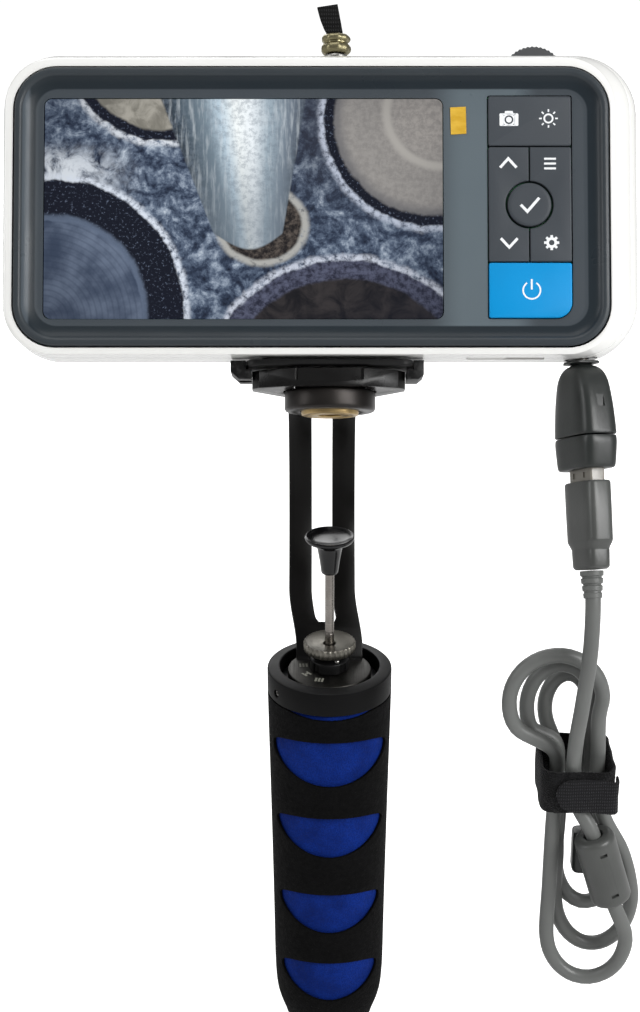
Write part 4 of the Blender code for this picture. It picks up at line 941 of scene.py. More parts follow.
x, z = 49.3, 79.55
icon("photo", [round_rect(x - 2.6, x - 1.45, z - 1.95, z + 1.6, 0.35, 4),
               round_rect(x + 1.45, x + 2.6, z - 1.95, z + 1.6, 0.35, 4),
               round_rect(x - 1.9, x + 1.9, z + 1.1, z + 1.6, 0.1, 2),
               round_rect(x - 1.9, x + 1.9, z - 1.95, z - 1.6, 0.1, 2),
               round_rect(x - 1.15, x + 1.15, z + 1.4, z + 2.25, 0.35, 4),
               ring_sector(x, z - 0.2, 1.22, 1.75), arc(x, z - 0.2, 0.8, 0, 345, 23)],
     "photo_light")
x, z = 60.2, 79.7
icon("light", [ring_sector(x, z, 0.92, 1.4)] + rays(x, z, 1.85, 2.6, 0.42), "photo_light")
icon("up", [stroke([(46.8, 66.0), (49.05, 68.5), (51.3, 66.0)], 0.75)], "up_down")
icon("down", [stroke([(46.9, 46.3), (49.2, 43.8), (51.5, 46.3)], 0.75)], "up_down")
icon("menu", [round_rect(58.9, 62.2, z - 0.28, z + 0.28, 0.1, 2)
              for z in (65.75, 67.1, 68.45)], "menu_settings")
x, z = 60.85, 45.1
icon("settings", [ring_sector(x, z, 0.75, 1.5)] + rays(x, z, 1.4, 2.08, 0.72),
     "menu_settings")
icon("confirm", [stroke([(52.4, 55.6), (54.2, 53.7), (57.5, 57.5)], 0.78)], "ok",
     y=-15.36)
x, z = 55.3, 31.9
icon("power", [ring_sector(x, z, 2.15, 2.6, 122, 418),
               stroke([(x, z + 0.2), (x, z + 3.1)], 0.5)], "power")

# --------------------------------------------------- strap on top of the display
POST = DISPLAY @ shift(POST_X, POST_Y, 0)
POST_PROFILE = [
    (0, 103.4), (1.7, 103.4), (2.0, 103.1), (2.0, 100.9), (3.3, 100.7), (3.4, 100.4),
    (3.3, 100.1), (1.9, 100.1), (1.9, 97.2), (3.2, 97.2), (3.2, 96.0), (0, 96.0)]
piece("strap_post", lathe(POST_PROFILE, 40), POST, "display", "steel", "lanyard_post",
      smooth=32)

# two rolled beads with a waist, slightly lobed
FERRULE_PROFILE = [
    (2.4, 106.4), (2.9, 106.7), (3.5, 106.55), (3.95, 106.0), (4.05, 105.4), (3.8, 104.9),
    (3.35, 104.55), (3.3, 104.2), (3.7, 103.9), (4.1, 103.3), (4.2, 102.6), (4.0, 101.9),
    (3.5, 101.35), (2.9, 101.15), (2.4, 101.4)]
piece("ferrule", lathe(FERRULE_PROFILE, 48, closed=True, radius_at=lambda angle, r, z: r * (
    1 + (0.03 * math.cos(9 * angle) if r > 3 else 0))),
      POST, "lanyard", "old_brass", "lanyard_ferrule", smooth=40)

# x, y, z, width up the strap
STRAP_ROWS = [(0.0, 0.0, 104.0, 3.6), (-0.15, 0.0, 106.5, 4.3), (-0.9, 0.1, 109.0, 5.1),
              (-1.7, 0.3, 112.0, 5.6), (-2.4, 0.6, 115.3, 5.8)]


def strap():
    path = smooth_rows(STRAP_ROWS, 8)
    sections = []
    for k, (x, y, z, width) in enumerate(path):
        fold = 0.12 * math.sin(k * 0.9)
        slope = 0.16 * (k / len(path))
        sections.append([(x + across, y + thick + fold, z + across * slope) for across, thick
                         in round_rect(-width / 2, width / 2, -0.7, 0.7, 0.3, 3)])
    return loft(sections)


piece("strap", strap(), POST, "lanyard", "webbing", "lanyard_strap", smooth=40)

# ------------------------------------------------------------- rear fittings
DIAL_PROFILE = [
    (0, 2.2), (1.6, 2.2), (1.9, 1.9), (7.9, 1.9), (8.4, 1.85), (8.9, 1.5), (9.12, 1.1),
    (9.15, 0.0), (9.12, -1.1), (8.9, -1.5), (8.4, -1.85), (7.9, -1.9), (1.9, -1.9),
    (1.6, -2.2), (0, -2.2)]
# 45 shallow grooves round the rim
piece("focus_dial", lathe(DIAL_PROFILE, 180, radius_at=lambda angle, r, z: r - (
    0.3 * (0.5 + 0.5 * math.cos(45 * angle)) if r > 8.6 else 0)),
      face_on(LENS_X, 6.0, 96.5), "focus_wheel", "grey_rubber", "focus_wheel", smooth=40)

LENS = face_back(LENS_X, 9.6, LENS_Z)
TUBE_PROFILE = [
    (6.6, 4.2), (6.9, 4.5), (8.5, 4.5), (8.85, 4.2), (9.0, 3.8), (9.0, 3.2), (8.8, 3.0),
    (9.0, 2.8), (9.0, -7.5), (5.0, -7.5), (5.0, -1.0), (5.6, -0.4), (5.6, 0.1), (6.6, 0.5)]
piece("lens_tube", lathe(TUBE_PROFILE, 96, closed=True), LENS, "lens", "black_gloss",
      "lens_barrel")
GLASS_PROFILE = [(0, 2.7), (1.5, 2.64), (3.0, 2.45), (4.5, 2.1), (5.6, 1.7), (6.2, 1.35),
                 (6.2, 0.7), (0, 0.7)]
piece("front_lens", lathe(GLASS_PROFILE, 72), LENS, "lens", "lens", "lens_glass")

SCREW_PROFILE = [(0, 0.55), (0.35, 0.55), (0.36, 0.85), (1.0, 0.85), (1.35, 0.65),
                 (1.55, 0.25), (1.55, -3.2), (0, -3.2)]
for i, (x, z) in enumerate(SCREWS, 1):
    piece(f"housing_screw_{i}", lathe(SCREW_PROFILE, 36), face_back(x, 10.1, z),
          "display", "steel", f"shell_screw_{i}", smooth=32,
          cuts=(brick(x, 10.9, z, 2.0, 0.9, 0.34), brick(x, 10.9, z, 0.34, 0.9, 2.0)))

# ---------------------------------------------------- underside of the display
FLAP = [(38.2, -9.85), (48.6, -9.85), (48.6, -6.15), (38.2, -6.15)]     # x, y
piece("slot_flap", stack_z(FLAP, [(14.1, 0.15), (14.0, 0.0), (15.0, 0.0)]), DISPLAY,
      "card_flap", "pale_rubber", "card_flap", bevel=(0.12, 2))
piece("card_reader", box(54.0, -8.0, 19.4, 9.6, 3.6, 9.0), DISPLAY, "display",
      "plug_shell", "card_socket", bevel=(0.12, 1),
      cuts=(brick(54.0, -8.0, 16.0, 8.4, 1.4, 7.0),))
JACK_PROFILE = [(0, 22.0), (4.2, 22.0), (4.2, 14.7), (4.0, 14.5), (2.4, 14.5),
                (2.1, 14.8), (2.1, 20.0), (0, 20.0)]
piece("round_jack", lathe(JACK_PROFILE, 56), DISPLAY @ shift(PORT_X, PORT_Y, 0), "display",
      "black_gloss", "jack_socket", smooth=32)

# ------------------------------------------------------- quick-release mount
piece("pad", stack_z(round_rect(-19.1, 19.0, -10.5, 10.0, 2.5, 8),
                     [(13.2, 0.12), (13.32, 0.0), (13.64, 0.0), (13.75, 0.12)]),
      DISPLAY, "display", "rubber", "plate_pad",
      cuts=(drum(0, PLATE_SCREW_Y, 13.4, 3.6, 3.0, segs=40),))
piece("plate", stack_z(round_rect(-23.1, 23.0, -14.0, 14.0, 3.2, 12),
                       [(11.3, 0.55), (11.5, 0.2), (11.8, 0.0), (12.7, 0.0),
                        (12.92, 0.1), (13.1, 0.4)]),
      DISPLAY, "display", "black_metal", "quick_plate",
      cuts=(drum(0, PLATE_SCREW_Y, 12.4, 3.5, 6.0, segs=40),
            drum(0, PLATE_SCREW_Y, 10.95, 6.2, 2.4, segs=56)))
COIN_SCREW_PROFILE = [
    (0, 21.0), (2.5, 21.0), (3.05, 20.5), (3.05, 12.1), (3.3, 11.9), (5.7, 11.9),
    (5.9, 11.75), (5.9, 11.5), (5.7, 11.35), (0, 11.35)]
piece("coin_screw", lathe(COIN_SCREW_PROFILE, 48), DISPLAY @ shift(0, PLATE_SCREW_Y, 0),
      "plate_screw", "steel", "plate_screw", smooth=32,
      cuts=(brick(0, PLATE_SCREW_Y, 11.35, 10.4, 1.3, 0.5),))

# x, y of the clamp's ten-sided outline
CLAMP = [(-9.2, -15.2), (8.8, -15.2), (18.8, -10.1), (20.8, -7.0), (20.8, -1.0),
         (11.4, 14.2), (-11.8, 14.2), (-21.6, -1.0), (-21.6, -7.0), (-19.6, -10.1)]
clamp_cuts = [drum(0, 0, 5.1, 13.1, 2.4, segs=96),      # recess over the nut
              brick(0, 7.5, 6.9, 20.3, 40.0, 4.4),      # channel for the arm
              drum(0, 0, 9.0, 3.3, 8.0, segs=40),       # stud hole
              drum(0, 0, 10.5, 5.9, 1.8, segs=48)]      # stud head
# a nick at each end of the front edge
for (x, y), degrees in zip(CLAMP[:2], (13, -13)):
    clamp_cuts.append(cutter(moved(box(0, 0, 0, 0.8, 1.2, 3.2),
                                   shift(x, y, 8.9) @ turn(degrees, 'Z'))))
piece("clamp_body", stack_z(CLAMP, [(5.6, 0.0), (10.45, 0.0)]), DISPLAY, "arm", "clamp",
      "clamp_base", bevel=(0.35, 2), bevel_angle=30, cuts=clamp_cuts)

# x, z of the two jaws
FIXED_JAW = [(21.2, 8.1), (24.4, 8.1), (25.9, 9.4), (25.9, 13.3), (23.12, 13.3),
             (23.12, 10.75), (21.2, 10.75)]
MOVING_JAW = [(-21.9, 8.1), (-21.9, 10.75), (-23.22, 10.75), (-23.22, 13.2),
              (-27.5, 13.2), (-27.5, 10.2), (-25.2, 8.1)]


def jaw(outline):
    return loft([[(x, y, z) for x, z in outline] for y in (-10.0, 2.0)])


piece("jaw_right", jaw(FIXED_JAW), DISPLAY, "arm", "black_metal", "fixed_jaw",
      bevel=(0.28, 2),
      cuts=[brick(26.15, -8.7 + 1.58 * i, 11.2, 0.9, 0.62, 3.2) for i in range(7)])
piece("jaw_left", jaw(MOVING_JAW), DISPLAY, "moving_jaw", "black_metal", "moving_jaw",
      bevel=(0.45, 3), cuts=(drum(-23.6, -4.0, 7.0, 2.2, 3.0, segs=32),))

NUT_PROFILE = [
    (8.4, 5.75), (8.6, 5.9), (11.9, 5.9), (12.4, 5.68), (12.64, 5.3), (12.7, 4.9),
    (12.7, 1.1), (12.64, 0.65), (12.4, 0.25), (11.9, 0.0), (8.6, 0.0), (8.4, 0.15)]
piece("nut", lathe(NUT_PROFILE, 160, closed=True), DISPLAY, "neck_nut", "nut", "neck_nut",
      smooth=38)
INSERT_PROFILE = [
    (3.4, 5.6), (8.05, 5.6), (8.05, -0.55), (7.9, -0.9), (7.5, -1.1), (6.4, -1.1),
    (6.3, -0.95), (5.6, -0.95), (5.5, -1.1), (3.7, -1.1), (3.4, -0.85)]
piece("insert", lathe(INSERT_PROFILE, 96, closed=True), DISPLAY, "arm", "brass",
      "brass_insert", smooth=32)

THREAD_PITCH = 0.56
stud_profile = [(0, 10.4), (5.4, 10.4), (5.6, 10.2), (5.6, 10.05), (5.4, 9.9),
                (3.05, 9.65), (3.05, 4.0)]
for i in range(5):
    z = 3.9 - THREAD_PITCH * i
    stud_profile += [(3.05, z), (2.72, z - THREAD_PITCH / 2)]
stud_profile += [(3.0, 0.85), (2.5, 0.4), (0, 0.4)]
piece("stud", lathe(stud_profile, 48), DISPLAY, "arm", "steel", "clamp_stud", smooth=32,
      cuts=(brick(0, 0, 0.4, 4.6, 0.8, 1.2),))

# ---------------------------------------------------------------------- arm
ARM_WIDTH, ARM_THICK = 19.8, 2.6
ARM_SLOT = 6.1                  # slot width
ARM_EDGE = 0.45                 # rounding of the long edges
ARM_PAD_CORNER = 5.0            # corner radius of the top end
ARM_PAD_Z = 7.5                 # centre of the strip in the display frame
ARM_OVERHANG = 9.6              # flat part in front of the stud
ARM_LEAD = 14.0                 # flat part behind the stud
ARM_RADIUS = 37.1               # big bend
ARM_END = -130.0                # heading after the big bend, degrees from +y
ARM_SHIFT = -2.2                # sideways set of the middle
FOOT_BEND = 4.0                 # radius of the bend into the foot
WELL_Z = -3.0                   # floor of the collar's well, in the handle frame


def arm_path():
    """Stations (x, y, z, heading) from the pad, round the back and down to the foot."""
    cos_tilt, sin_tilt = math.cos(math.radians(TILT)), math.sin(math.radians(TILT))
    pad_y, pad_z = ARM_PAD_Z * sin_tilt, NECK_Z + ARM_PAD_Z * cos_tilt
    path = []
    for i in range(10):
        along = -ARM_OVERHANG + (ARM_OVERHANG + ARM_LEAD) * i / 10
        path.append((pad_y + cos_tilt * along, pad_z - sin_tilt * along, -TILT))
    centre_y = pad_y + cos_tilt * ARM_LEAD - ARM_RADIUS * sin_tilt
    centre_z = pad_z - sin_tilt * ARM_LEAD - ARM_RADIUS * cos_tilt
    for i in range(65):
        heading = math.radians(-TILT + (ARM_END + TILT) * i / 64)
        path.append((centre_y - ARM_RADIUS * math.sin(heading),
                     centre_z + ARM_RADIUS * math.cos(heading), math.degrees(heading)))
    # straight run down to the foot's bend
    start_y, start_z, _ = path[-1]
    foot_z = COLLAR_Z + WELL_Z + 0.3 + ARM_THICK / 2
    bend = math.radians(180.0 + ARM_END)
    sin_bend, cos_bend = math.sin(bend), math.cos(bend)
    drop = start_z - foot_z - FOOT_BEND * (1 - cos_bend)
    end_y, end_z = start_y - drop * cos_bend / sin_bend, start_z - drop
    for i in range(1, 30):
        path.append((start_y + (end_y - start_y) * i / 30,
                     start_z + (end_z - start_z) * i / 30, ARM_END))
    for i in range(9):
        left = bend * (8 - i) / 8
        path.append((end_y - FOOT_BEND * (sin_bend - math.sin(left)),
                     end_z - FOOT_BEND * (math.cos(left) - cos_bend),
                     -180.0 + math.degrees(left)))
    toe_y = path[-1][0]
    path += [(toe_y - 0.8 * i, foot_z, -180.0) for i in range(1, 4)]
    stations = []
    for y, z, heading in path:
        ease = min(1.0, max(0.0, (-heading - TILT) / 18.0)) \
            * min(1.0, max(0.0, (z - COLLAR_Z - 2.0) / 14.0))
        stations.append((ARM_SHIFT * ease * ease * (3 - 2 * ease), y, z, heading))
    return stations


def arm_columns(half_width, half_slot):
    """(across, share of half thickness) from one side of the strip to the other."""
    corner = 1 - 2 * ARM_EDGE / ARM_THICK
    shoulder = 1 - 0.26 / ARM_THICK
    side = [(-half_width, corner), (-half_width + 0.13, shoulder),
            (-half_width + ARM_EDGE, 1.0)]
    if half_slot:
        side += [(-half_slot - ARM_EDGE, 1.0), (-half_slot - 0.13, shoulder),
                 (-half_slot, corner)]
    else:
        side += [(-0.6, 1.0), (-0.3, 1.0), (0.0, 1.0)]
    return side + [(-across, share) for across, share in side[::-1]]


def arm_mesh():
    path = arm_path()
    along = [0.0]
    for p, q in zip(path[:-1], path[1:]):
        along.append(along[-1] + (Vector(q[:3]) - Vector(p[:3])).length)
    slot_start = next(s for s, p in zip(along, path) if p[3] <= -34.9)
    slot_end = max(s for s, p in zip(along, path) if p[2] >= COLLAR_Z + 7.0)
    verts, faces, rows, slotted = [], [], [], []
    for s, (x, y, z, heading) in zip(along, path):
        half_width = ARM_WIDTH / 2
        if s < ARM_PAD_CORNER:
            half_width += math.sqrt(ARM_PAD_CORNER ** 2 - (ARM_PAD_CORNER - s) ** 2) \
                - ARM_PAD_CORNER
        half_slot = 0.0
        if slot_start < s < slot_end:
            from_end = min(s - slot_start, slot_end - s)
            r = ARM_SLOT / 2
            half_slot = r if from_end > r else math.sqrt(r * r - (r - from_end) ** 2)
            if half_slot <= 0.05:
                half_slot = 0.0
        slotted.append(half_slot > 0)
        angle = math.radians(heading)
        normal = Vector((0, -math.sin(angle), math.cos(angle)))
        row = []
        for across, share in arm_columns(half_width, half_slot):
            middle = Vector((x + across, y, z))
            offset = normal * (ARM_THICK / 2 * share)
            row.append((len(verts), len(verts) + 1))
            verts += [tuple(middle + offset), tuple(middle - offset)]
        rows.append(row)

    def wall(a, b):
        faces.append((a[0], a[1], b[1], b[0]))

    last = len(rows[0]) - 1
    lip = last // 2             # the slot lies between columns lip and lip + 1
    for k, (row, following) in enumerate(zip(rows[:-1], rows[1:])):
        is_open = slotted[k] and slotted[k + 1]
        for c in range(last):
            if c == lip and is_open:
                continue
            a, b, p, q = row[c], row[c + 1], following[c], following[c + 1]
            faces.append((a[0], p[0], q[0], b[0]))
            faces.append((a[1], b[1], q[1], p[1]))
        for c in (0, last) + ((lip, lip + 1) if is_open else ()):
            wall(row[c], following[c])
    for row in (rows[0], rows[-1]):
        for c in range(last):
            faces.append((row[c][0], row[c + 1][0], row[c + 1][1], row[c][1]))
    # the two places where the slot closes need their own walls
    for k in range(1, len(rows)):
        if slotted[k - 1] != slotted[k]:
            row = rows[k if slotted[k] else k - 1]
            faces.append((row[lip][0], row[lip + 1][0], row[lip + 1][1], row[lip][1]))
    return verts, faces


piece("arm_strip", arm_mesh(), WORLD, "arm", "arm_metal", "slotted_arm", smooth=35,
      cuts=(drum(0, 0, ARM_PAD_Z, 3.4, 8.0, segs=40),))

# round foot of the arm, inside the collar, with printed index marks
FOOT_PROFILE = [(1.8, -0.2), (1.95, -0.05), (11.75, -0.05), (12.1, -0.15),
                (12.3, -0.45), (12.3, -2.45), (12.05, -2.75), (1.8, -2.75)]
piece("arm_foot", lathe(FOOT_PROFILE, 144, closed=True), HANDLE, "arm", "brushed",
      smooth=32)
BARS = merge(*[box(0.95 * k, 0, 0, 0.6, 2.1, 0.1) for k in (-1, 0, 1)])
LINKED_BARS = merge(box(-0.8, 0, 0, 0.55, 2.2, 0.1), box(0.8, 0, 0, 0.55, 2.2, 0.1),
                    box(0, 0, 0, 0.9, 0.55, 0.1))
# radius, bearing, twist, mark
TICKS = ((7.9, 167, 4, BARS), (7.7, 209, 38, LINKED_BARS), (8.1, 248, -10, BARS))
for i, (radius, bearing, twist, mark) in enumerate(TICKS, 1):
    piece(f"index_tick_{i}", mark,
          HANDLE @ shift(*polar(radius, bearing), -0.01) @ turn(twist, 'Z'),
          "arm", "worn_print", smooth=0)

# ------------------------------------------------------- collar, core and bush
HOLE_TURN = turn(-58.4, 'Z') @ turn(90, 'X')    # axis of the set screw
COLLAR_PROFILE = [
    (14.7, 1.0), (14.78, 1.17), (15.0, 1.25), (15.3, 1.22), (17.75, 0.8), (18.05, 0.68),
    (18.24, 0.48), (18.3, 0.15), (18.3, -6.05), (18.2, -6.4), (17.9, -6.6), (14.7, -6.6)]
piece("collar", lathe(COLLAR_PROFILE, 160, closed=True), HANDLE, "handle", "collar",
      "handle_collar",
      cuts=(cutter(moved(cylinder(1.2, 10, 32), shift(-15.6, -9.6, -3.5) @ HOLE_TURN),
                   HANDLE),))
GRUB_PROFILE = [(0.42, 1.3), (0.8, 1.3), (0.9, 1.2), (0.9, -1.2), (0.8, -1.3), (0, -1.3),
                (0, 0.5), (0.42, 0.5)]
piece("grub_screw",
      moved(lathe(GRUB_PROFILE, 24), shift(-14.05, -8.64, -3.5) @ HOLE_TURN),
      HANDLE, "handle", "steel", "collar_set_screw", smooth=32)

# floor of the well, inside wall and tube
CORE_PROFILE = [
    (2.6, -3.0), (13.95, -3.0), (14.35, -3.25), (14.35, -6.7), (12.2, -6.7),
    (12.2, -123.9), (10.2, -123.9), (10.2, -9.0), (2.6, -9.0)]
piece("core_tube", lathe(CORE_PROFILE, 96, closed=True), HANDLE, "handle", "core",
      "handle_core")
BUSH_PROFILE = [(1.65, -3.4), (2.3, -3.4), (2.3, -9.3), (5.0, -9.3), (5.0, -11.0),
                (1.65, -11.0)]
piece("bush", lathe(BUSH_PROFILE, 40, closed=True), HANDLE, "handle", "brass",
      "guide_bush", smooth=32)

# ------------------------------------------------------------- foam sleeves
# z, radius down the outside of the grip
GRIP = [(-6.9, 18.3), (-20.0, 18.05), (-50.0, 17.45), (-85.0, 16.9), (-100.0, 16.75),
        (-106.0, 16.5), (-110.1, 16.1), (-113.1, 15.4), (-115.7, 14.5), (-117.9, 13.7),
        (-119.4, 13.3)]
# top, bottom, half width in degrees of each opening
OPENINGS = [(-15.3, -30.3, 66.0), (-41.0, -54.7, 63.0), (-67.7, -81.6, 61.5),
            (-92.3, -106.4, 60.0)]
BLUE_INNER, BLUE_END = 12.5, -112.4     # inner radius and lower end of the blue sleeve


def chaikin(points, rounds):
    """Soften a polyline by cutting its corners."""
    for _ in range(rounds):
        cut = [points[0]]
        for a, b in zip(points[:-1], points[1:]):
            cut.append((a[0] * .75 + b[0] * .25, a[1] * .75 + b[1] * .25))
            cut.append((a[0] * .25 + b[0] * .75, a[1] * .25 + b[1] * .75))
        cut.append(points[-1])
        points = cut
    return points


GRIP_Z, GRIP_R = zip(*chaikin(GRIP, 3)[::-1])


def grip_radius(z):
    return float(np.interp(z, GRIP_Z, GRIP_R))


def opening_edges(opening, off):
    """Upper and lower edge of an opening, off degrees from its middle."""
    top, bottom, half = opening
    q = off / half
    high = top - 2.6 * q * q
    low = bottom + 6.8 * q ** 1.9
    middle = (high + low) / 2
    spread = max(0.0, 1.0 - q ** 7) ** (1 / 3.0)
    return middle + (high - middle) * spread, middle + (low - middle) * spread


def uneven(angle, r, z):
    if r < 13:
        return r
    return r + 0.05 * (math.sin(3 * angle + z * 0.21)
                       + math.sin(5 * angle - z * 0.37) - 1.0) / 2


blue_profile = [(BLUE_INNER, -7.0), (16.6, -7.0), (17.1, -7.12)]
for i in range(35):
    z = -7.6 - 3.0 * i
    blue_profile.append((grip_radius(z) - 0.95, z))
blue_profile += [(grip_radius(BLUE_END) - 1.0, BLUE_END), (BLUE_INNER, BLUE_END)]
piece("blue_sleeve", lathe(blue_profile, 96, closed=True, radius_at=uneven), HANDLE,
      "handle", "foam_blue", "grip_inner", smooth=60)

# levels that round the lower end of the black sleeve
LOW_LEVELS = [-107.6, -109.0, -110.2, -111.4, -112.5, -113.5, -114.5, -115.5, -116.4,
              -117.3, -118.1, -118.8, -119.25, -119.4]


def sleeve_skin():
    """Outside of the black sleeve, with rounded openings at the front and back."""
    offsets = [*np.arange(0.0, 44.0, 3.0), *np.arange(44.0, 69.0, 1.25), 71.0, 75.0, 80.0,
               85.0, 90.0]
    bearings = sorted({round(a % 360, 3) for centre in (90.0, 270.0) for q in offsets
                       for a in (centre + q, centre - q)})
    bm = bmesh.new()

    def vert(degrees, z):
        r = grip_radius(z) - (0.12 if z < -119.3 else 0.0)
        return bm.verts.new((*polar(r, degrees), z))

    for k in range(len(OPENINGS) + 1):
        columns = []
        for a in bearings:
            off = min(abs(a - 270), abs(a - 90), abs(a - 450))
            if k == 0:
                high = -6.9 - 1.2 * max(0.0, 1 - (off / 42.0) ** 2)
            else:
                high = opening_edges(OPENINGS[k - 1], off)[1]
            if k == len(OPENINGS):
                levels = [high, high * 0.66 + LOW_LEVELS[0] * 0.34,
                          high * 0.33 + LOW_LEVELS[0] * 0.67] + LOW_LEVELS
            else:
                low = opening_edges(OPENINGS[k], off)[0]
                levels = [high + (low - high) * j / 6 for j in range(7)]
            columns.append([vert(a, z) for z in levels])
        for p, q in zip(columns, columns[1:] + columns[:1]):
            for j in range(len(p) - 1):
                bm.faces.new((p[j], p[j + 1], q[j + 1], q[j]))
    bmesh.ops.remove_doubles(bm, verts=bm.verts, dist=0.02)
    bmesh.ops.recalc_face_normals(bm, faces=bm.faces)
    mesh = bpy.data.meshes.new("tmp_sleeve")
    bm.to_mesh(mesh)
    bm.free()
    return mesh


def black_sleeve():
    """The skin thickened inwards, with softened edges."""
    ob = bpy.data.objects.new("tmp_sleeve", sleeve_skin())
    bpy.context.scene.collection.objects.link(ob)
    solid = ob.modifiers.new("thick", 'SOLIDIFY')
    solid.thickness = 0.7
    solid.offset = -1.0
    add_bevel(ob, width=0.2, segments=2, angle=60)
    mesh = evaluated_mesh(ob)
    bpy.data.objects.remove(ob)
    return [tuple(v.co) for v in mesh.vertices], [tuple(p.vertices) for p in mesh.polygons]


piece("black_sleeve", black_sleeve(), HANDLE, "handle", "foam_black", "grip_outer",
      smooth=50)

BOTTOM_CAP_PROFILE = [
    (0, -120.0), (9.5, -120.0), (9.8, -120.3), (9.8, -124.2), (11.5, -124.2),
    (11.95, -124.35), (12.2, -124.7), (12.2, -125.9), (12.05, -126.0), (12.05, -126.3),
    (12.2, -126.4), (12.2, -130.9), (12.05, -131.4), (11.7, -131.8), (11.2, -132.0),
    (0, -132.0)]
piece("bottom_cap", lathe(BOTTOM_CAP_PROFILE, 128), HANDLE, "end_cap", "black_metal",
      "end_cap", cuts=(brick(0, 0, -132.0, 13.0, 2.0, 2.0, HANDLE),))

# ------------------------------------------------- hub, lock wheel and plunger
HUB_PROFILE = [
    (1.8, 5.5), (2.0, 5.7), (3.2, 5.7), (3.4, 5.5), (3.4, 4.4), (3.7, 4.1), (4.9, 3.8),
    (5.45, 3.5), (5.6, 3.1), (5.6, 0.5), (5.4, 0.25), (1.8, 0.25)]
# four notches round the hub's lower part
piece("hub_body", lathe(HUB_PROFILE, 72, closed=True), HANDLE, "handle", "black_metal",
      "hub", bevel=(0.15, 2),
      cuts=[brick(5.7, 0, 1.6, 1.3, 2.4, 3.1, HANDLE @ turn(45 + 90 * i, 'Z'))
            for i in range(4)])
BALL_PROFILE = [(0, 0.75), (0.29, 0.69), (0.53, 0.53), (0.69, 0.29), (0.75, 0.0),
                (0.69, -0.29), (0.53, -0.53), (0.29, -0.69), (0, -0.75)]
piece("detent_ball", lathe(BALL_PROFILE, 20), HANDLE @ shift(*polar(4.3, -60), 3.95),
      "handle", "steel", smooth=60)


def knurl(angle, r, z):
    if r < 7.3:
        return r
    return r - 0.3 * (0.5 + 0.5 * math.cos(34 * angle)) ** 0.6


WHEEL_BOTTOM, WHEEL_TOP = 6.0, 9.0
wheel_profile = [(r, WHEEL_TOP + z) for r, z in (
    (1.75, -0.95), (1.95, -0.75), (3.0, -0.72), (5.0, -0.5), (6.6, -0.2), (7.05, -0.06),
    (7.2, 0.0), (7.45, -0.1), (7.65, -0.4))]
wheel_profile += [(r, WHEEL_BOTTOM + z) for r, z in (
    (7.65, 0.45), (7.45, 0.15), (7.1, 0.0), (1.9, 0.0), (1.75, 0.15))]
piece("knurled_wheel", lathe(wheel_profile, 272, closed=True, radius_at=knurl), HANDLE,
      "lock_wheel", "wheel", "lock_wheel", smooth=38)

ROD_PROFILE = [
    (0, 33.0), (1.0, 33.0), (1.33, 32.7), (1.33, 12.2), (1.25, 12.1), (1.25, 11.7),
    (1.33, 11.6), (1.33, -12.0), (3.6, -12.2), (3.6, -13.4), (1.33, -13.6),
    (1.33, -49.7), (1.0, -50.0), (0, -50.0)]
piece("rod", lathe(ROD_PROFILE, 40), HANDLE, "plunger", "rod", "plunger_rod", smooth=32)

PLUNGER_TOP = 42.6
cap_profile = [(r, PLUNGER_TOP + z) for r, z in (
    (0, -1.0), (2.0, -1.0), (4.4, -0.8), (6.0, -0.35), (6.6, -0.05), (6.85, 0.0),
    (7.1, -0.12), (7.2, -0.45), (7.1, -0.85), (6.7, -1.35), (5.6, -1.85), (4.6, -2.25),
    (4.0, -2.8), (3.7, -3.4), (3.35, -5.2), (2.9, -7.8))]
cap_profile += [(2.6, 32.4), (2.45, 31.3), (2.25, 31.0), (1.6, 31.0), (1.6, 33.3),
                (0, 33.3)]
piece("cap", lathe(cap_profile, 96), HANDLE, "plunger", "black_gloss", "plunger_cap",
      smooth=32)


# ---------------------------------------------------------- adapter and plug
def superellipse(width, depth, count, power):
    points = []
    for i in range(count):
        angle = 2 * math.pi * i / count
        c, s = math.cos(angle), math.sin(angle)
        points.append((math.copysign(abs(c) ** (2 / power), c) * width / 2,
                       math.copysign(abs(s) ** (2 / power), s) * depth / 2))
    return points


def soft_body(rows, count, power, hard):
    """Squarish body through rows of (z, x, width, depth).

    Spans are smoothed in three steps, except those numbered in hard, which stay straight.
    """
    stations = []
    for k in range(len(rows) - 1):
        stations.append(rows[k])
        if k in hard:
            continue
        before = rows[k - 1] if k and (k - 1) not in hard else rows[k]
        after = rows[k + 2] if k + 2 < len(rows) and (k + 1) not in hard else rows[k + 1]
        span = [np.array(row, float) for row in (before, rows[k], rows[k + 1], after)]
        stations += [tuple(catmull(*span, j / 3)) for j in (1, 2)]
    stations.append(rows[-1])
    return loft([[(middle + x, y, z) for x, y in superellipse(width, depth, count, power)]
                 for z, middle, width, depth in stations])


TIP_PROFILE = [
    (0, 19.4), (0.6, 19.35), (0.9, 19.1), (1.2, 18.6), (1.75, 18.0), (1.75, 16.6),
    (1.6, 16.5), (1.6, 16.2), (1.75, 16.1), (1.75, 13.95), (0, 13.95)]
piece("tip", lathe(TIP_PROFILE, 40), ADAPTER, "adapter", "plug_shell", "adapter_tip",
      smooth=32)

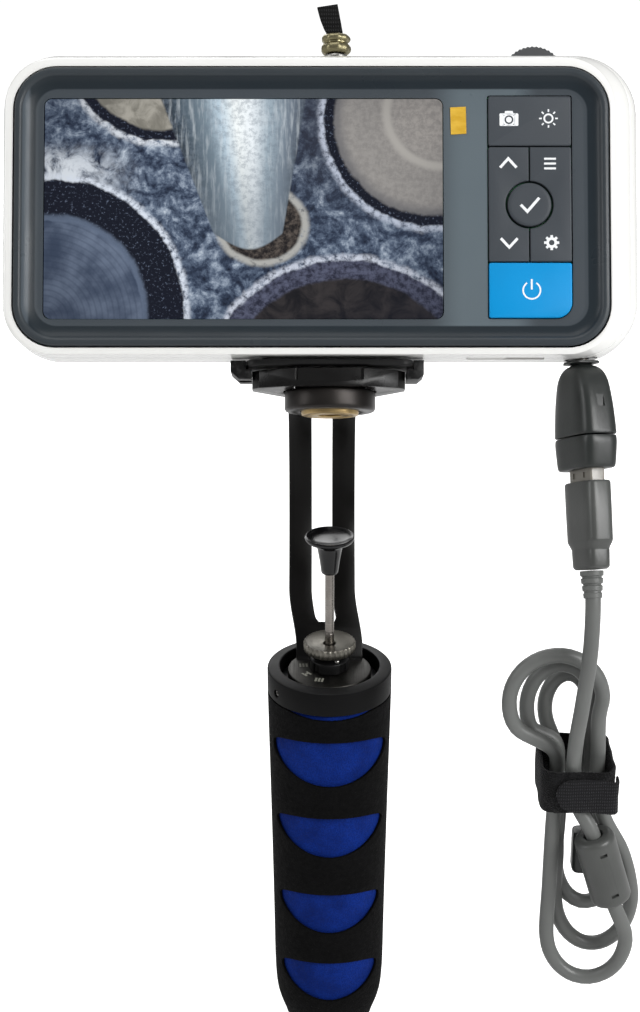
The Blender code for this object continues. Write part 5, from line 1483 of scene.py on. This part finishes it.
# rows of the soft bodies: z, x, width, depth
ADAPTER_ROWS = [
    (13.6, 0.0, 8.2, 8.2), (13.45, 0.0, 8.5, 8.5), (12.95, 0.0, 8.6, 8.6),
    (12.75, 0.0, 4.9, 4.9), (12.35, 0.0, 5.6, 5.6), (11.9, 0.02, 7.8, 7.3),
    (10.6, 0.1, 11.6, 9.0), (7.7, 0.2, 15.6, 10.2), (1.7, 0.3, 18.6, 10.9),
    (-4.0, 0.4, 19.8, 11.4), (-7.0, 0.4, 20.2, 11.6), (-7.3, 0.4, 20.0, 11.4),
    (-7.4, 0.4, 19.7, 11.1)]
piece("adapter_body", soft_body(ADAPTER_ROWS, 96, 4.2, hard=(0, 2, 3, 10, 11)), ADAPTER,
      "adapter", "cord_dark", "adapter_shell", smooth=35,
      cuts=[brick(9.75, 0.0, 1.8, 1.0, 2.2, 3.2, ADAPTER)])
ADAPTER_END_ROWS = [
    (-7.75, 0.4, 19.6, 11.0), (-7.85, 0.4, 19.9, 11.3), (-8.3, 0.4, 20.1, 11.5),
    (-9.6, 0.4, 20.2, 11.6), (-12.6, 0.3, 19.7, 11.3), (-15.4, 0.2, 19.0, 11.0),
    (-16.3, 0.2, 18.5, 10.5), (-16.6, 0.2, 17.8, 9.8)]
PLUG_X = 0.2                    # axis of the plug in the adapter frame
piece("adapter_collar", soft_body(ADAPTER_END_ROWS, 96, 4.2, hard=(0, 1)), ADAPTER,
      "adapter", "cord_dark", "adapter_cap", smooth=35,
      cuts=(brick(PLUG_X, 0, -16.5, 12.8, 5.4, 16.0, ADAPTER),))

SHELL_OUTLINE = round_rect(-6.0, 6.0, -2.25, 2.25, 0.6, 6)
# mouth of the plug's shell, then two windows in each broad side
SHELL_CUTS = ((PLUG_X, 0, -7.4, 11.2, 3.7, 8.0), (-2.6, 2.25, -13.2, 1.9, 0.9, 2.2),
              (3.0, 2.25, -13.2, 1.9, 0.9, 2.2), (-2.6, -2.25, -18.2, 1.9, 0.6, 1.6),
              (3.0, -2.25, -18.2, 1.9, 0.6, 1.6))
piece("metal_shell", loft([[(x + PLUG_X, y, z) for x, y in SHELL_OUTLINE]
                           for z in (-9.1, -20.5)]),
      ADAPTER, "plug", "plug_shell", "usb_shell",
      cuts=[brick(*sizes, ADAPTER) for sizes in SHELL_CUTS])
PLUG_ROWS = [(z, PLUG_X, width, depth) for z, width, depth in (
    (-20.0, 14.9, 7.1), (-20.15, 15.4, 7.6), (-20.7, 15.8, 8.0), (-28.0, 15.8, 8.0),
    (-36.2, 15.6, 7.9), (-36.8, 15.2, 7.8), (-38.6, 12.5, 7.0), (-39.2, 12.2, 7.0),
    (-43.4, 11.8, 6.9), (-43.9, 11.3, 6.7), (-44.4, 9.0, 6.4))]
piece("plug_moulding", soft_body(PLUG_ROWS, 80, 4.5, hard=(0, 1, 2, 3, 7)), ADAPTER,
      "plug", "cord_plug", "plug_body", smooth=35,
      cuts=(brick(PLUG_X, 0, -20.0, 12.3, 4.8, 2.0, ADAPTER),))

RELIEF_TOP, RELIEF_PITCH = -44.75, 2.05
RELIEF_BORE = 2.45
relief_profile = [(RELIEF_BORE, RELIEF_TOP)]
for k in range(4):
    z = RELIEF_TOP - RELIEF_PITCH * k
    r = 3.35 - 0.22 * k
    relief_profile += [(r - 0.15, z), (r, z - 0.15), (r - 0.08, z - 1.3),
                       (r - 0.22, z - 1.45)]
    if k < 3:
        relief_profile += [(r - 0.55, z - 1.55), (r - 0.6, z - 1.95)]
relief_profile.append((RELIEF_BORE, relief_profile[-1][1]))
piece("relief", lathe(relief_profile, 48, closed=True), ADAPTER @ shift(PLUG_X, 0, 0),
      "plug", "cord", "strain_relief", smooth=35)


# --------------------------------------------------------------------- cable
def lobe(x, z, half_x, half_z, start, end, start_y, end_y, count=8):
    """Part of an ellipse in x,z between two angles, drifting in y."""
    points = []
    for i in range(count + 1):
        t = i / count
        angle = math.radians(start + (end - start) * t)
        points.append((x + half_x * math.cos(angle), start_y + (end_y - start_y) * t,
                       z + half_z * math.sin(angle)))
    return points


def raised(point):
    """Handle frame to world, both in mm."""
    x, y, z = point
    return x, y, z + COLLAR_Z


# x, y, z of the cord in the handle frame, after it leaves the plug
CORD_POINTS = (
    # front strand, through the tie and the ferrite
    [(72.4, -30.6, 20.0), (71.0, -30.6, 4.0), (69.9, -29.2, -9.0), (69.9, -27.8, -20.0),
     (71.5, -27.7, -30.0), (75.7, -29.6, -37.7), (79.5, -29.6, -49.7),
     (83.1, -29.6, -61.6)]
    + lobe(76.2, -76.0, 11.4, 14.5, 10, -172, -29.0, -23.6)
    + [(65.0, -22.8, -60.0), (65.2, -22.4, -42.0), (65.5, -22.2, -25.0),
       (64.9, -22.2, -15.6)]
    # first upper loop, the widest, and the second lower one
    + lobe(64.6, 0.5, 13.4, 14.6, 215, -20, -22.0, -21.0, count=9)
    + [(77.4, -21.6, -16.0), (77.6, -22.2, -28.0), (80.4, -22.2, -38.0),
       (86.0, -22.0, -49.0)]
    + lobe(78.6, -66.0, 11.2, 17.0, 22, -175, -21.4, -17.8)
    + [(67.4, -17.4, -52.0), (66.8, -17.0, -38.0), (66.6, -16.8, -25.0),
       (65.4, -16.8, -15.2)]
    # second upper loop and third lower one
    + lobe(66.4, -3.4, 9.6, 13.0, 215, -20, -16.8, -15.9)
    + [(76.2, -16.2, -16.0), (76.6, -16.9, -28.0), (79.2, -17.0, -38.0)]
    + lobe(76.6, -57.0, 8.8, 14.6, 30, -172, -16.6, -12.6)
    + [(68.2, -12.0, -42.0), (67.8, -11.6, -28.0), (65.8, -11.6, -18.0)]
    # third upper loop and the tail
    + lobe(69.0, -6.4, 6.4, 10.4, 205, -15, -11.6, -10.9)
    + [(76.0, -11.2, -18.0), (76.2, -11.6, -28.0), (77.0, -11.6, -40.0),
       (77.4, -11.6, -48.0)])


def spline_through(points, step):
    """Centripetal Catmull-Rom through points, with steps of about the given length."""
    def between(a, b, start, end, t):
        return a * ((end - t) / (end - start)) + b * ((t - start) / (end - start))

    p = [Vector(point) for point in points]
    p = [p[0] * 2 - p[1]] + p + [p[-1] * 2 - p[-2]]
    result = []
    for p0, p1, p2, p3 in zip(p, p[1:], p[2:], p[3:]):
        t1 = (p1 - p0).length ** 0.5
        t2 = t1 + (p2 - p1).length ** 0.5
        t3 = t2 + (p3 - p2).length ** 0.5
        count = max(1, round((p2 - p1).length / step))
        for k in range(count):
            t = t1 + (t2 - t1) * k / count
            a1 = between(p0, p1, 0.0, t1, t)
            a2 = between(p1, p2, t1, t2, t)
            a3 = between(p2, p3, t2, t3, t)
            result.append(between(between(a1, a2, 0.0, t2, t),
                                  between(a2, a3, t1, t3, t), t1, t2, t))
    return result + [p[-2]]


def tube(points, radius, count):
    """Round cord along points, carried without twist."""
    tangent = (points[1] - points[0]).normalized()
    away = Vector((0, 1, 0)) if abs(tangent.y) < 0.9 else Vector((1, 0, 0))
    u = tangent.cross(away).normalized()
    sections = []
    for i, point in enumerate(points):
        before, after = points[max(0, i - 1)], points[min(len(points) - 1, i + 1)]
        tangent = (after - before).normalized()
        u = (u - tangent * u.dot(tangent)).normalized()
        w = tangent.cross(u)
        angles = [2 * math.pi * k / count for k in range(count)]
        sections.append([tuple(point + (u * math.cos(a) + w * math.sin(a)) * radius)
                         for a in angles])
    return loft(sections)


cord_start = [ADAPTER @ Vector((PLUG_X, 0.0, z)) * 1000 for z in (RELIEF_TOP, -53.5)]
cord_path = spline_through(cord_start + [raised(p) for p in CORD_POINTS], step=1.9)
piece("cord", tube(cord_path, radius=2.2, count=20), WORLD, "plug", "cord", "cable",
      smooth=60)

# ferrite case, lying along the front strand
ferrite_top = Vector(raised((76.2, -29.6, -38.7)))
ferrite_bottom = Vector(raised((82.8, -29.6, -60.7)))
FERRITE = WORLD @ shift(*((ferrite_top + ferrite_bottom) / 2)) \
    @ (ferrite_bottom - ferrite_top).normalized().to_track_quat('Z', 'Y').to_matrix().to_4x4()
FERRITE_PROFILE = [
    (2.65, 10.9), (2.9, 11.3), (4.2, 11.3), (5.1, 11.15), (5.65, 10.7), (5.95, 10.0),
    (6.0, 9.2), (6.0, -9.2), (5.95, -10.0), (5.65, -10.7), (5.1, -11.15), (4.2, -11.3),
    (2.9, -11.3), (2.65, -10.9)]
front = FERRITE.to_3x3().normalized().inverted() @ Vector((0.25, -1, 0)).normalized()
front_angle = math.degrees(math.atan2(front.y, front.x))
# two notches in front, and a seam down each side
ferrite_cuts = [brick(5.8, 0, z, 1.6, 2.2, 1.0, FERRITE @ turn(front_angle, 'Z'))
                for z in (-7.0, 7.0)]
ferrite_cuts += [brick(6.0, 0, 0, 0.5, 0.22, 20.6, FERRITE @ turn(front_angle + side, 'Z'))
                 for side in (88, -92)]
piece("ferrite_case", lathe(FERRITE_PROFILE, 72, closed=True), FERRITE, "plug",
      "cord_plug", "ferrite_core", smooth=35, bevel=(0.1, 2), bevel_angle=50,
      cuts=ferrite_cuts)


# --------------------------------------------------- hook-and-loop cable tie
def tape(path, widths, thick, heights, seed):
    """Sections of a slightly wavy tape standing on edge along a path in x,y."""
    phases = np.random.RandomState(seed).rand(6) * 6.28
    sections = []
    for i, ((x, y), width, height) in enumerate(zip(path, widths, heights)):
        before, after = path[max(0, i - 1)], path[min(len(path) - 1, i + 1)]
        along = Vector((after[0] - before[0], after[1] - before[1])).normalized()
        edge, soft = width / 2, width / 2 - 0.35
        section = []
        for c, q in ((-edge, -thick * 0.25), (-edge, thick * 0.25), (-soft, thick / 2),
                     (0.0, thick / 2), (soft, thick / 2), (edge, thick * 0.25),
                     (edge, -thick * 0.25), (soft, -thick / 2), (0.0, -thick / 2),
                     (-soft, -thick / 2)):
            out = q + 0.1 * math.sin(0.7 * i + phases[0] + c * 0.4)
            section.append((x + along.y * out, y - along.x * out,
                            height + c + 0.16 * math.sin(0.35 * i + phases[1])))
        sections.append(section)
    return sections


TIE_Z = COLLAR_Z - 24.0
TIE_START = (66.0, -31.15)      # where the loop starts, on its front side


def tie_path():
    """The loop from TIE_START, in steps of about 1 mm."""
    corners = round_rect(60.95, 81.45, TIE_START[1], -8.05, 3.6)
    first = min(range(len(corners)), key=lambda i: abs(corners[i][0] - TIE_START[0])
                + abs(corners[i][1] - TIE_START[1]))
    corners = corners[first:] + corners[:first]
    path = []
    for a, b in zip(corners, corners[1:] + corners[:1]):
        count = max(1, round(math.dist(a, b) / 1.0))
        path += [(a[0] + (b[0] - a[0]) * j / count, a[1] + (b[1] - a[1]) * j / count)
                 for j in range(count)]
    return path


path = tie_path()
piece("tie_band", loft(tape(path, [13.2] * len(path), 0.9, [TIE_Z] * len(path), seed=5),
                       ring=True),
      WORLD, "plug", "loop_tape", "cable_tie", smooth=50)

TONGUE_STEP, TONGUE_WIDTH = 0.62, 10.6


def tongue():
    """Free end laid over the band, low and rounded."""
    path = [(82.5, -28.0), (82.5, -29.4), (82.35, -30.7), (81.8, -31.6)]
    for i in range(30):
        x = 82.6 - TONGUE_STEP * i
        if x < 81.2:
            path.append((x, -32.0 - 0.25 * math.sin((x - 60) * 0.25)))
    widths = []
    r = 5.4                     # length of the rounded end
    for i in range(len(path)):
        left = (len(path) - 1 - i) * TONGUE_STEP
        widths.append(TONGUE_WIDTH if left > r else max(
            0.9, 2 * math.sqrt(max(0.0, r * r - (r - left) ** 2)) * TONGUE_WIDTH / 10.8))
    heights = [TIE_Z - 1.6 + 0.05 * i for i in range(len(path))]
    return loft(tape(path, widths, 0.8, heights, seed=9))


piece("tie_tongue", tongue(), WORLD, "plug", "tape_back", smooth=50)

END_PLUG_ROWS = [(7.0, 0.0, 8.2, 4.8), (6.7, 0.0, 9.2, 5.6), (5.8, 0.0, 9.6, 6.0),
                 (-5.0, 0.0, 9.6, 6.0), (-6.4, 0.0, 8.8, 5.4), (-7.0, 0.0, 7.4, 4.4)]
piece("end_plug", soft_body(END_PLUG_ROWS, 64, 4.5, hard=(2,)),
      WORLD @ shift(77.4, -10.9, COLLAR_Z - 55.5), "plug", "cord_dark", "far_plug",
      smooth=35)

# ------------------------------------------------- inner pieces kept as loaded
for name, material in {
        "lcd_panel": "plug_shell", "main_board": "board", "key_board": "board",
        "sensor_board": "board", "battery_pack": "webbing", "return_spring": "steel",
        "spring_seat": "steel"}.items():
    slots = NODES[name].data.materials
    slots.clear()
    slots.append(MATERIALS[material])

# ----------------------------------------------------- floor, lights and camera
FLOOR_HALF, FLOOR_Z = 6.0, -0.0012      # metres


def floor_material():
    """Near white, and lit a little for the camera alone."""
    look = Shader("floor")
    patches = look.noise(scale=14.0, detail=4.0)
    seen = look.node('LightPath', 'Is Camera Ray')
    look.surface(color=look.mix(look.fade(patches), (0.86, 0.86, 0.86), (0.9, 0.9, 0.9)),
                 rough=0.6, spec=0.1, emit=(1.0, 1.0, 1.0),
                 emit_power=look.times(seen, 0.75),
                 normal=look.bump(look.noise(scale=260.0), strength=0.05, depth=0.0003))


def add_floor():
    floor_material()
    mesh = bpy.data.meshes.new("floor")
    mesh.from_pydata([(x * FLOOR_HALF, y * FLOOR_HALF, FLOOR_Z)
                      for x, y in ((-1, -1), (1, -1), (1, 1), (-1, 1))],
                     [], [(0, 1, 2, 3)])
    mesh.materials.append(MATERIALS["floor"])
    ob = bpy.data.objects.new("floor", mesh)
    bpy.context.scene.collection.objects.link(ob)
    return ob


def area_light(name, place, size, power, color):
    light = bpy.data.lights.new(name, 'AREA')
    light.shape = 'RECTANGLE'
    light.size, light.size_y = size
    light.energy = power
    light.color = color
    ob = bpy.data.objects.new(name, light)
    ob.location = place
    aim = Vector(LIGHT_TARGET) - Vector(place)
    ob.rotation_euler = aim.to_track_quat('-Z', 'Y').to_euler()
    bpy.context.scene.collection.objects.link(ob)
    return ob


WHITE, WARM, COOL = (1, 1, 1), (1.0, 0.995, 0.985), (0.985, 0.99, 1.0)
LIGHT_TARGET = (0.0, 0.0, 0.2)
# name, place (m), size (m), power (W), colour
LIGHTS = [
    ("key_light", (0.85, -0.9, 1.0), (0.6, 0.6), 12.0, WARM),
    ("side_light", (1.0, -0.62, 0.62), (0.2, 0.5), 4.0, COOL),
    ("left_light", (-1.15, -0.3, 0.75), (0.35, 0.8), 4.0, COOL),
    ("top_light", (-0.1, 0.15, 1.35), (0.9, 0.6), 4.0, WHITE),
    ("back_light", (-0.2, 1.1, 0.7), (1.0, 0.5), 4.0, WHITE),
]


def add_world():
    """White world, full strength to the camera and weaker as a light."""
    world = bpy.data.worlds.new("soft_world")
    world.use_nodes = True
    tree = world.node_tree
    background = tree.nodes["Background"]
    background.inputs[0].default_value = (1.0, 1.0, 1.0, 1.0)
    light_path = tree.nodes.new('ShaderNodeLightPath')
    strength = tree.nodes.new('ShaderNodeMapRange')
    strength.inputs['To Min'].default_value = 0.3
    strength.inputs['To Max'].default_value = 1.0
    tree.links.new(light_path.outputs['Is Camera Ray'], strength.inputs['Value'])
    tree.links.new(strength.outputs[0], background.inputs[1])
    bpy.context.scene.world = world
    bpy.context.scene.view_settings.view_transform = 'Standard'


def add_camera():
    data = bpy.data.cameras.new("camera")
    data.lens = 77.1
    data.sensor_width = 36.0
    data.clip_start = 0.01
    data.clip_end = 30.0
    camera = bpy.data.objects.new("camera", data)
    camera.location = (-0.0028, -0.569546, 0.42563)
    camera.rotation_euler = (math.radians(67.0), 0.0, 0.0)
    bpy.context.scene.collection.objects.link(camera)
    bpy.context.scene.camera = camera


floor = add_floor()
lights = [area_light(*columns) for columns in LIGHTS]
add_world()
add_camera()
